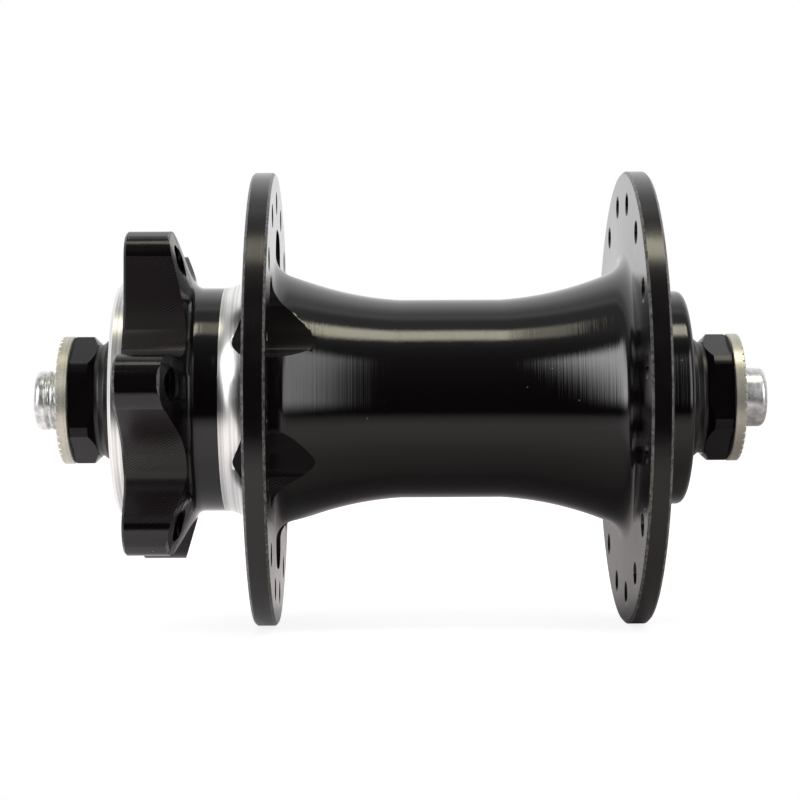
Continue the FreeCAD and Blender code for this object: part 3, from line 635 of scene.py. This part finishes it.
def plain_profile(low, high, radius):
    """A plain hole's profile with a countersink at each end."""
    wide = radius + COUNTERSINK
    return [(low - PAST_FLANGE, wide), (low, wide), (low + COUNTERSINK, radius),
            (high - COUNTERSINK, radius), (high, wide), (high + PAST_FLANGE, wide)]


def combine(piece, operation, other, **settings):
    """Cut or cross a piece with another, bake the result and drop the other."""
    boolean = piece.modifiers.new("boolean", "BOOLEAN")
    boolean.operation, boolean.solver, boolean.object = operation, "EXACT", other
    for name, value in settings.items():
        setattr(boolean, name, value)
    graph = bpy.context.evaluated_depsgraph_get()
    made = bpy.data.meshes.new_from_object(piece.evaluated_get(graph))
    old = piece.data
    piece.modifiers.clear()
    piece.data = made
    bpy.data.meshes.remove(old)
    made.name = piece.name
    bpy.data.objects.remove(other)


mesh = bmesh.new()
wider = grown(gap, EDGE_BREAK, PILOT_RADIUS + BESIDE_PILOT)
for k in range(TAB_COUNT):
    tab = FIRST_TAB + k * pitch
    add_prism(mesh, [(TAB_ROOT, gap), (ROTOR_SEAT - EDGE_BREAK, gap), (ROTOR_SEAT, wider),
                     (ROTOR_SEAT + PAST_SEAT, wider)], tab, MILLED)
    add_prism(mesh, [(along, window) for along in WINDOW_CUT], tab + pitch / 2 + WINDOW_LEAD,
              MILLED)
    add_drill(mesh, threaded_profile(BOLT_THREAD_START, ROTOR_SEAT, BOLT_RADIUS), BOLT_CIRCLE,
              tab, DRILLED)
for k in range(SPOKE_COUNT):
    for (outer, inner), phase in ((ROTOR_FLANGE, ROTOR_SPOKE_PHASE),
                                  (PLAIN_FLANGE, PLAIN_SPOKE_PHASE)):
        add_drill(mesh, plain_profile(inner, outer, SPOKE_RADIUS), SPOKE_CIRCLE,
                  phase + 360 / SPOKE_COUNT * k, DRILLED, SPOKE_SIDES)
bmesh.ops.recalc_face_normals(mesh, faces=mesh.faces)
cutters = as_object("shell_cutters", mesh, [anodised_milled, anodised_turned])
for material in (bare_turned, anodised_milled):
    shell.data.materials.append(material)
combine(shell, "DIFFERENCE", cutters, material_mode="TRANSFER")
print("carved shell has", len(shell.data.polygons), "faces and",
      [material.name for material in shell.data.materials])

# %% [markdown]
# ## Painted edge highlights
# The narrow chamfers of the flanges' rims and of the tabs show as fine pale lines, a painted
# highlight along each edge. Slow noise breaks each line up.

# %% Painted edge highlights
HIGHLIGHT_BREAK_SPACING = 0.5 * MM

edge_painted_highlight, tree, shader = new_material("anodised_edge_painted_highlight", Roughness=0.3)
highlight_breaks = noise(tree, place_in(tree), HIGHLIGHT_BREAK_SPACING, 4.0, 0.6)
join(tree, shader, two_tone(tree, highlight_breaks, "#262223", "#7c7976", 0.38, 0.66))
print("scuffs every", HIGHLIGHT_BREAK_SPACING / MM, "mm")

# %% [markdown]
# ## Which face has which finish
# Two places were turned again after the anodising: a band at the foot of the neck, and the
# pilot with its shoulder. They are faces of the same forging, so they get the bare material
# by their place, instead of a ring laid over the black. The round tips of the tabs show no
# mill marks, so they take the turned finish. The chamfers with their painted highlight, the
# duller rims and the deep recesses with their painted shade get theirs by place too.

# %% Finishes by place
NECK_BARE_END, NECK_BARE_RADIUS = 26.9, 21.2
TIP_SMOOTH_RADIUS = 24.3
TOLERANCE = 0.02
CHAMFER_TILT = (0.4, 0.95)
RECESS_TILT = 0.8
HOLE_REACH = BOLT_RADIUS + THREAD_DEPTH + 0.1
SLOT_OF = {"tip": 0, "bare": 1, "milled": 2, "edge": 3, "rim": 4, "recess": 5}


def finish_by_place(face):
    """The finish that a face takes by its place, or None where it keeps the one it has."""
    x, y, z = face.center / MM
    radius = math.hypot(x, z)
    milled = face.material_index == SLOT_OF["milled"]
    on_tabs = y > TAB_ROOT

    neck_band = ROTOR_FLANGE[0] < y < NECK_BARE_END and radius < NECK_BARE_RADIUS
    pilot = y > ROTOR_SEAT and radius < PILOT_RADIUS + TOLERANCE
    if (neck_band or pilot) and radius > BEARING_SEAT_RADIUS + TOLERANCE:
        return "bare"

    rim = FLANGE_RADIUS - FLANGE_CHAMFER < radius < FLANGE_RADIUS - TOLERANCE
    tip = on_tabs and TAB_TIP_RADIUS - EDGE < radius < TAB_TIP_RADIUS - TOLERANCE
    # Chamfers take the painted highlight.
    if (rim or tip) and CHAMFER_TILT[0] < abs(face.normal.y) < CHAMFER_TILT[1]:
        return "edge"
    if radius > FLANGE_RADIUS - TOLERANCE:
        return "rim"

    # The bolt holes' threads and the windows' inner sides take the painted shade.
    if on_tabs:
        holes = [on_hub(y, BOLT_CIRCLE, FIRST_TAB + k * pitch) for k in range(TAB_COUNT)]
        deep = min((Vector((x, y, z)) - hole).length for hole in holes) < HOLE_REACH
    else:
        deep = milled and face.normal.dot(Vector((x, 0, z)).normalized()) > RECESS_TILT
    if deep:
        return "recess"
    return "tip" if milled and on_tabs and radius > TIP_SMOOTH_RADIUS else None


for material in (edge_painted_highlight, anodised_rim, recess_painted_shade):
    shell.data.materials.append(material)
tally = {}
for face in shell.data.polygons:
    finish = finish_by_place(face)
    if finish:
        face.material_index = SLOT_OF[finish]
        tally[finish] = tally.get(finish, 0) + 1
smooth(shell, 30)
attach(shell, "shell")
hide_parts("hub_shell")
print("faces with a finish by place:", tally)

# %% [markdown]
# ## The axle's finish
# The axle is a steel tube, zinc plated and passivated clear. Plating is bright but never a
# mirror: it clouds in soft grey patches a millimetre or two across. Slow noise moves the
# roughness and the tone, and finer noise pits the surface a little.

# %% Zinc-plated steel
CLOUD_SPACING, PIT_SPACING, PIT_DEPTH = 1.6 * MM, 0.35 * MM, 0.012 * MM

zinc, tree, shader = new_material("zinc_plated_steel", Metallic=1.0, Roughness=0.3)
here = place_in(tree)
cloud = noise(tree, here, CLOUD_SPACING, 5.0, 0.65)
join(tree, shader, two_tone(tree, cloud, "#b4b6b8", "#f2f2f1", 0.36, 0.6),
     remap(tree, cloud, to_min=0.22, to_max=0.42),
     bump(tree, noise(tree, here, PIT_SPACING, 3.0), 0.5, PIT_DEPTH))
print("zinc clouds every", round(CLOUD_SPACING / MM, 2), "mm")

# %% [markdown]
# ## Axle
# The hollow axle is thickest between its two seats, and its thin ends stick out through the
# washers to rest in the fork. The rotor side's end keeps its thread almost to the tip, the
# other end was turned plain. A thread is one helical groove, so the turned surface is moved in
# and out by a wave that runs along the axle and shifts by one pitch in each turn round it.

# %% Axle
AXLE_END, AXLE_TIP_RADIUS, AXLE_SEAT_RADIUS, AXLE_BORE = 54.0, 4.35, 6.0, 2.6
AXLE_SEAT_END, TIP_FILLET, BORE_EDGE = 41.2, 0.9, 0.3
THREAD_PITCH, THREAD_CUT, THREAD_START, THREAD_END = 1.0, 0.42, 41.6, 52.9
FLANK_START, FLANK_WIDTH = 0.62, 0.5
THREAD_RUNOUT, THREAD_ROW, AXLE_SEGMENTS = 0.8, 0.0625, 128


def threaded_end(along, radius, angle):
    """A right-hand thread: the crest goes on by one pitch for each turn."""
    if radius < AXLE_TIP_RADIUS - TOLERANCE or not THREAD_START <= along <= THREAD_END:
        return along, radius
    wave = abs(((along / THREAD_PITCH + angle / (2 * math.pi)) % 1.0) * 2 - 1)
    depth = THREAD_CUT * max(0.0, min(1.0, (FLANK_START - wave) / FLANK_WIDTH))
    runout = min(1.0, (THREAD_END - along) / THREAD_RUNOUT)
    return along, radius - depth * runout


tip = arc_run((AXLE_END - TIP_FILLET, AXLE_TIP_RADIUS - TIP_FILLET), TIP_FILLET, 0, 90, 8)
thread_steps = round((THREAD_END - THREAD_START) / THREAD_ROW)
thread = [(THREAD_END - i * (THREAD_END - THREAD_START) / thread_steps, AXLE_TIP_RADIUS)
          for i in range(thread_steps + 1)]
axle_outline = [(AXLE_END, AXLE_BORE + BORE_EDGE)] + tip + thread
axle_outline += [(AXLE_SEAT_END, AXLE_TIP_RADIUS), (AXLE_SEAT_END, AXLE_SEAT_RADIUS),
                 (-AXLE_SEAT_END, AXLE_SEAT_RADIUS), (-AXLE_SEAT_END, AXLE_TIP_RADIUS)]
axle_outline += mirrored(tip)
axle_outline += [(-AXLE_END, AXLE_BORE + BORE_EDGE), (BORE_EDGE - AXLE_END, AXLE_BORE),
                 (AXLE_END - BORE_EDGE, AXLE_BORE)]
axle = smooth(turned("axle_plated", axle_outline, zinc, AXLE_SEGMENTS, threaded_end), 40)
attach(axle, "axle_unit")
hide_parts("axle")
print("axle has", len(axle.data.polygons), "faces,", thread_steps, "rows of thread")

# %% [markdown]
# ## The face washers' finish
# The washers that meet the fork are nickel-plated steel, which is warmer than zinc, and their
# rims keep the turning tool's rings. A fine grain over these takes the evenness off.

# %% Nickel-plated turned steel
RIM_STREAK_SPACING, GRAIN_SPACING = 0.22 * MM, 0.5 * MM
RIM_RING_SPACING, RIM_RING_DEPTH = 0.25 * MM, 0.003 * MM
STREAK_SHARE = 0.75

nickel, tree, shader = new_material("nickel_plated_steel", Metallic=1.0, Roughness=0.4)
here = place_in(tree)
both = lathe_place(tree, here)
streak = noise(tree, both, RIM_STREAK_SPACING, 3.0, dimensions="2D")
grain = calc(tree, "MULTIPLY", noise(tree, here, GRAIN_SPACING, 4.0), 1 - STREAK_SHARE)
mixed = calc(tree, "MULTIPLY_ADD", streak, STREAK_SHARE, grain)
join(tree, shader, two_tone(tree, mixed, "#aeaa9f", "#d8d5c8", 0.3, 0.7),
     normal=rings(tree, both, RIM_RING_SPACING, 0.4, RIM_RING_DEPTH))
print("washer rings every", round(RIM_RING_SPACING / MM, 2), "mm")

# %% [markdown]
# ## Face washers
# Each washer's outer face is knurled, so that it grips the fork. The knurl is a ring of radial
# grooves, and where a groove runs out through the rim it leaves a small nick. The nicks are
# what shows from the side, so the face's outer rows are pushed in at each groove.

# %% Face washers
WASHER_INNER_FACE, WASHER_OUTER_FACE = 48.3, 50.0
WASHER_RADIUS, WASHER_BORE, WASHER_EDGE = 9.45, 4.4, 0.15
GROOVES, GROOVE_DEPTH, GROOVE_SHARE = 48, 0.32, 0.34
KNURL_START, KNURL_RISE, KNURL_ROWS = 6.2, 1.2, (8.4, 7.4)
KNURL_REACH, UNDER_NICKS, WASHER_SEGMENTS = 0.2, 0.45, GROOVES * 12


def knurled(along, radius, angle):
    """Push the outer face in at each groove, more towards the rim."""
    if abs(along) < WASHER_OUTER_FACE - KNURL_REACH or radius < KNURL_START:
        return along, radius
    part = (angle * GROOVES / (2 * math.pi)) % 1.0
    depth = max(0.0, 1 - abs(part - 0.5) * 2 / GROOVE_SHARE)
    rise = min(1.0, (radius - KNURL_START) / KNURL_RISE)
    return along - math.copysign(GROOVE_DEPTH * depth * rise, along), radius


washer_outline = [(WASHER_INNER_FACE, WASHER_BORE),
                  (WASHER_INNER_FACE, WASHER_RADIUS - WASHER_EDGE),
                  (WASHER_INNER_FACE + WASHER_EDGE, WASHER_RADIUS),
                  (WASHER_OUTER_FACE - UNDER_NICKS, WASHER_RADIUS),
                  (WASHER_OUTER_FACE - WASHER_EDGE, WASHER_RADIUS)]
washer_outline += [(WASHER_OUTER_FACE, radius) for radius in
                   (WASHER_RADIUS - WASHER_EDGE, *KNURL_ROWS, KNURL_START, WASHER_BORE)]
for side, outline in both_sides(washer_outline):
    washer = turned(side + "_side_washer_knurled", outline, nickel, WASHER_SEGMENTS, knurled)
    smooth(washer, 28)
    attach(washer, "axle_unit")
    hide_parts(side + "_side_face_washer")
print("each washer has", GROOVES, "grooves")

# %% [markdown]
# ## The locknuts' finish
# The nuts are steel, blackened in a hot bath and oiled to a gloss. Fingers and the spanner
# wipe the oil unevenly, so the gloss wanders over patches about a millimetre across.

# %% Gloss black steel
WIPE_SPACING, WIPE_DEPTH = 1.2 * MM, 0.006 * MM

nut_black, tree, shader = new_material("black_oxide_steel", Roughness=0.14,
                                       Specular_IOR_Level=0.2)
here = place_in(tree)
wipe = noise(tree, here, WIPE_SPACING, 5.0)
join(tree, shader, dusty_black(tree, here, 0.16), remap(tree, wipe, to_min=0.08, to_max=0.24),
     bump(tree, wipe, 0.25, WIPE_DEPTH))
print("oil is wiped in patches of", round(WIPE_SPACING / MM, 2), "mm")

# %% [markdown]
# ## Locknuts
# A locknut is a steel hexagon, 17 mm across its flats. It is turned with a chamfer towards the
# hub before the flats are milled, so each flat meets the chamfer in a curve. Crossing a turned
# ring with a six-sided prism makes that curve by itself.

# %% Locknuts
NUT_INNER_FACE, NUT_OUTER_FACE, NUT_RADIUS, NUT_BORE = 44.6, 48.3, 9.4, 4.4
NUT_CHAMFER, NUT_OUTER_EDGE = 0.9, (0.25, 0.3)
ACROSS_FLATS, PAST_NUT, NUT_SEGMENTS = 17.0, 1, 192
NUT_TURN = {"rotor": 90.0, "plain": 144.6}


def hexagon(name, low, high, turn):
    """A solid six-sided prism along the axle, with a flat facing the given angle."""
    mesh = bmesh.new()
    reach = ACROSS_FLATS / 2 / math.cos(math.radians(30))
    corners = [turn + 30 + 60 * k for k in range(6)]
    add_solid(mesh, [[on_hub(along, reach, corner) for corner in corners]
                     for along in (low, high)], 0)
    bmesh.ops.recalc_face_normals(mesh, faces=mesh.faces)
    return as_object(name, mesh, [nut_black])


nut_outline = [(NUT_INNER_FACE, NUT_BORE), (NUT_INNER_FACE, NUT_RADIUS - NUT_CHAMFER),
               (NUT_INNER_FACE + NUT_CHAMFER, NUT_RADIUS),
               (NUT_OUTER_FACE - NUT_OUTER_EDGE[0], NUT_RADIUS),
               (NUT_OUTER_FACE, NUT_RADIUS - NUT_OUTER_EDGE[1]), (NUT_OUTER_FACE, NUT_BORE)]
for side, outline in both_sides(nut_outline):
    sign = 1 if side == "rotor" else -1
    nut = turned(side + "_side_locknut_hexagon", outline, nut_black, NUT_SEGMENTS)
    prism = hexagon("prism", sign * (NUT_INNER_FACE - PAST_NUT),
                    sign * (NUT_OUTER_FACE + PAST_NUT), NUT_TURN[side])
    combine(nut, "INTERSECT", prism)
    smooth(nut, 14)
    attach(nut, "axle_unit")
    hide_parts(side + "_side_locknut")
    print(nut.name, "has", len(nut.data.polygons), "faces")

# %% [markdown]
# ## The end spacers' finish
# The spacers are turned from aluminium bar and blasted before anodising, so their black is
# satin, and the waist shows the lamp as a soft streak.

# %% Satin black aluminium
BLAST_SPACING, BLAST_DEPTH = 0.25 * MM, 0.008 * MM

satin_black, tree, shader = new_material("anodised_blasted_aluminium", Roughness=0.38)
here = place_in(tree)
join(tree, shader, dusty_black(tree, here, 0.05),
     normal=bump(tree, noise(tree, here, BLAST_SPACING, 3.0), 0.6, BLAST_DEPTH))
print("blasting marks every", round(BLAST_SPACING / MM, 2), "mm")

# %% [markdown]
# ## End spacers
# Between each nut and its bearing sits a spacer with a narrow waist and a wide lip that keeps
# grit off the bearing. The corner between the lip and the waist is rounded by the tool's nose,
# and beside the nut the waist tapers to a narrower end.

# %% End spacers
SPACER_FACE, LIP_FACE, LIP_BACK, SPACER_END = 40.0, 40.4, 41.4, 44.6
STEP_RADIUS, LIP_RADIUS, WAIST_RADIUS, END_RADIUS = 7.7, 13.5, 8.95, 8.25
LIP_EDGE, LIP_FOOT, NOSE_RADIUS = 0.15, 9.2, 0.35
WAIST_END, WAIST_EDGE, TAPER_END = 43.1, 0.2, 44.15
SPACER_BORE, SEAT_BORE, SEAT_BORE_END, SPACER_SEGMENTS = 4.4, 6.05, 41.25, 160

spacer_outline = [(SPACER_FACE, SEAT_BORE), (SPACER_FACE, STEP_RADIUS), (LIP_FACE, STEP_RADIUS),
                  (LIP_FACE, LIP_RADIUS - LIP_EDGE), (LIP_FACE + LIP_EDGE, LIP_RADIUS),
                  (LIP_BACK - LIP_EDGE, LIP_RADIUS), (LIP_BACK, LIP_RADIUS - LIP_EDGE),
                  (LIP_BACK, LIP_FOOT)]
spacer_outline += arc_run((LIP_BACK + NOSE_RADIUS, WAIST_RADIUS + NOSE_RADIUS), NOSE_RADIUS,
                          180, 270, 4)[1:]
spacer_outline += [(WAIST_END - WAIST_EDGE / 2, WAIST_RADIUS)]
spacer_outline += arc_run((WAIST_END, WAIST_RADIUS - WAIST_EDGE), WAIST_EDGE, 90, 50, 3)
spacer_outline += arc_run((TAPER_END, END_RADIUS + NOSE_RADIUS), NOSE_RADIUS, 235, 270, 4)
spacer_outline += [(SPACER_END, END_RADIUS), (SPACER_END, SPACER_BORE),
                   (SEAT_BORE_END, SPACER_BORE), (SEAT_BORE_END, SEAT_BORE)]
for side, outline in both_sides(spacer_outline):
    spacer = turned(side + "_side_spacer_turned", outline, satin_black, SPACER_SEGMENTS)
    smooth(spacer, 35)
    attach(spacer, "axle_unit")
    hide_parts(side + "_side_end_spacer")
print("spacer outline has", len(spacer_outline), "places")

# %% [markdown]
# ## The hidden bearings and sleeve
# The two cartridge bearings and the sleeve between them lie inside the shell. Their CAD shapes
# are already what the real ones are, so those nodes stay and only get better materials:
# ground and polished bearing steel, a moulded nylon cage, nitrile rubber seals and a sawn
# and turned aluminium tube.

# %% Bearing and sleeve materials
GROUND_SPACING, GROUND_DEPTH = 0.15 * MM, 0.002 * MM
NYLON_SPACING, RUBBER_SPACING, RUBBER_DEPTH = 0.8 * MM, 0.3 * MM, 0.01 * MM

ground_steel, tree, shader = new_material("ground_bearing_steel", Metallic=1.0, Roughness=0.12)
both = lathe_place(tree, place_in(tree))
finish = noise(tree, both, GROUND_SPACING, 2.0, dimensions="2D")
join(tree, shader, two_tone(tree, finish, "#c4c5c7", "#eceded"),
     normal=rings(tree, both, GROUND_SPACING, 0.2, GROUND_DEPTH))

nylon, tree, shader = new_material("moulded_nylon", Roughness=0.45, IOR=1.53)
flow = noise(tree, place_in(tree), NYLON_SPACING, 4.0)
join(tree, shader, two_tone(tree, flow, "#d0c29c", "#e2d8b8"))

rubber, tree, shader = new_material("nitrile_rubber", Roughness=0.55, IOR=1.52)
skin = noise(tree, place_in(tree), RUBBER_SPACING, 5.0)
join(tree, shader, two_tone(tree, skin, "#161617", "#262628"),
     normal=bump(tree, skin, 0.5, RUBBER_DEPTH))

HIDDEN_FINISHES = {"race": ground_steel, "balls": ground_steel, "ball_cage": nylon,
                   "seal": rubber, "sleeve": bare_turned}
dressed = []
for name, node in nodes.items():
    for ending, material in HIDDEN_FINISHES.items():
        if name.endswith(ending):
            for material_slot in node.material_slots:
                material_slot.material = material
            dressed.append(name)
print("dressed CAD nodes:", sorted(dressed))

# %% [markdown]
# ## Floor
# The hub lies on a white sheet that ends just in front of it, and that edge is the horizon
# that the glossy barrel shows below its middle. What the hub's glossy surfaces see of the sheet
# carries painted shade: a grey that fades out towards its front edge, standing in for the
# little lamp light there, and a painted shadow of the barrel right below. Towards the rotor
# side it gets a painted glow in place of more lamp light, which shows in the bare metal there.
# To the camera it glows as white as the background, with only the hub's soft shadow left on it.

# %% White floor with a soft shadow, and painted shade and glow in its reflections
FLOOR_HEIGHT = -33.52 * MM
FLOOR_FRONT, FLOOR_BACK, FLOOR_HALF_WIDTH = -114 * MM, 900 * MM, 900 * MM
FADE_END = -66 * MM
SHADE_START, SHADE_FULL, SHADE_LEVEL = -42 * MM, -12 * MM, 0.55
LIT_START, LIT_FULL, LIT_GLOW = 6 * MM, 30 * MM, 0.5
FIBRE_SPACING = 1.5 * MM

floor_white, tree, shader = new_material("white_sheet", Roughness=0.9,
                                         Emission_Color=linear("#ebebeb"))
here = place_in(tree)
split = add(tree, "SeparateXYZ", {0: here})
# Painted shade for rays other than the camera's: darker towards the front edge, with a painted
# shadow of the barrel below it.
painted_front_falloff = remap(tree, split.outputs[0], FLOOR_FRONT, FADE_END)
shade = remap(tree, split.outputs[0], SHADE_START, SHADE_FULL, 1.0, SHADE_LEVEL)
rotor_side = remap(tree, split.outputs[1], LIT_START, LIT_FULL)
bright = calc(tree, "MULTIPLY", painted_front_falloff, mix_values(tree, rotor_side, shade, 1.0))
sheet_tone = two_tone(tree, noise(tree, here, FIBRE_SPACING, 3.0), "#ece5e9", "#f4edf1")
seen_shaded = mix_colours(tree, bright, "#303030", sheet_tone)
# Painted glow on the rotor side, for rays other than the camera's.
glow = calc(tree, "MULTIPLY", calc(tree, "MULTIPLY", bright, rotor_side), LIT_GLOW)
camera_ray = add(tree, "LightPath").outputs["Is Camera Ray"]
join(tree, shader, mix_colours(tree, camera_ray, seen_shaded, "#a6a6a6"))
tree.links.new(mix_values(tree, camera_ray, glow, 1.0), shader.inputs["Emission Strength"])

corners = [(FLOOR_FRONT, -1), (FLOOR_BACK, -1), (FLOOR_BACK, 1), (FLOOR_FRONT, 1)]
mesh = bmesh.new()
mesh.faces.new([mesh.verts.new((x, y * FLOOR_HALF_WIDTH, FLOOR_HEIGHT)) for x, y in corners])
floor = as_object("floor", mesh, [floor_white])
print("floor at", round(FLOOR_HEIGHT / MM, 2), "mm")

# %% [markdown]
# ## Surroundings
# The camera sees plain white. Glossy surfaces see what stood in the studio: a white backdrop
# behind the hub that fades out overhead, with a bright edge at its top, then a dim ceiling and
# a dark room round the camera. Two large soft lamps stand in that room, left and right of the
# camera, and their light thins out towards their edges. They show as the soft patches in the
# barrel's flares. Everything else gets an even light from all round, at a plain level. The sky
# stops below go from the horizon behind the hub, over the top, to the horizon behind the
# camera. A lamp is given by its bearing from the camera, positive to the rotor side, and by
# its height, both in degrees, with the run over which each edge fades. One edge of the rotor
# side's lamp leans, so its bearing there changes with the height.

# %% World
SKY_STOPS = [(0, 1.0), (50, 1.0), (64, 0.66), (69, 0.62), (73, 0.85), (76, 0.60), (80, 0.34),
             (93, 0.38), (107, 0.34), (122, 0.14), (140, 0.05), (165, 0.01), (180, 0.0)]
SOFT_LEVEL = 0.62
ROTOR_LAMP_LEVEL, PLAIN_LAMP_LEVEL, LAMP_LEAN = 7.0, 3.3, 0.4

world = bpy.data.worlds.new("studio")
bpy.context.scene.world = world
world.use_nodes = True
tree = world.node_tree
background = tree.nodes["Background"]
direction = add(tree, "TexCoord").outputs["Generated"]
parts = add(tree, "SeparateXYZ", {0: direction})
above_floor = calc(tree, "MAXIMUM", parts.outputs[2], 0.0)
rise = calc(tree, "ARCTAN2", above_floor, parts.outputs[0])
sky = add(tree, "ValToRGB", {0: calc(tree, "DIVIDE", rise, math.pi)})
ramp = sky.color_ramp.elements
for number, (degrees, level) in enumerate(SKY_STOPS):
    stop = ramp[number] if number < 2 else ramp.new(degrees / 180)
    stop.position = degrees / 180
    stop.color = (level, level, level, 1.0)
towards_camera = calc(tree, "MULTIPLY", parts.outputs[0], -1.0)
bearing = calc(tree, "ARCTAN2", parts.outputs[1], towards_camera)
lift = calc(tree, "ARCSINE", parts.outputs[2])
leaning = calc(tree, "MULTIPLY_ADD", lift, LAMP_LEAN, bearing)


def side_lamp(light, level, edges):
    """The light so far with a soft lamp added, held between edges that are dark and lit."""
    patch = level
    for angle, dark, lit in edges:
        edge = remap(tree, angle, math.radians(dark), math.radians(lit),
                     interpolation_type="SMOOTHSTEP")
        patch = calc(tree, "MULTIPLY", edge, patch)
    return calc(tree, "ADD", light, patch)


light = side_lamp(sky.outputs[0], ROTOR_LAMP_LEVEL, [(leaning, 26, 56), (bearing, 72, 62),
                                                     (lift, -10, 2), (lift, 45, 36)])
light = side_lamp(light, PLAIN_LAMP_LEVEL, [(bearing, -18, -42), (bearing, -66, -56),
                                            (lift, -13, 0), (lift, 46, 38)])
path = add(tree, "LightPath")
glossy = mix_values(tree, path.outputs["Is Glossy Ray"], SOFT_LEVEL, light)
strength = mix_values(tree, path.outputs["Is Camera Ray"], glossy, 1.0)
tree.links.new(strength, background.inputs["Strength"])
background.inputs["Color"].default_value = linear("#ffffff")
print("soft light level", SOFT_LEVEL, "with", len(SKY_STOPS), "stops across the sky")

# %% [markdown]
# ## Lamps
# A long warm lamp hangs over the hub, slightly to the camera's side, and draws the bright line
# along the top of the barrel. It has a dimmer part towards the rotor side. Each part is set by
# its direction from the hub, its size and the brightness of its face.

# %% Lamps
LAMP_DISTANCE = 500 * MM
LAMP_COLOUR = "#fffae0"


def soft_lamp(name, direction, width, height, brightness):
    """A rectangular lamp that faces the hub; its power follows from its area and brightness."""
    lamp = bpy.data.lights.new(name, "AREA")
    lamp.shape = "RECTANGLE"
    lamp.size, lamp.size_y = width, height
    lamp.color = linear(LAMP_COLOUR)[:3]
    lamp.energy = brightness * math.pi * width * height
    stand = bpy.data.objects.new(name, lamp)
    towards = Vector(direction).normalized()
    side = (Vector((0, 1, 0)) - towards * towards.y).normalized()
    stand.matrix_world = standing(side, towards.cross(side), towards, towards * LAMP_DISTANCE)
    stand.visible_camera = False
    bpy.context.scene.collection.objects.link(stand)
    print(name, "power", round(lamp.energy, 2), "W")


soft_lamp("lamp_over_hub", (-0.233, -0.22, 0.972), 250 * MM, 115 * MM, 6.9)
soft_lamp("lamp_over_rotor_side", (-0.233, 0.16, 0.972), 135 * MM, 125 * MM, 2.1)
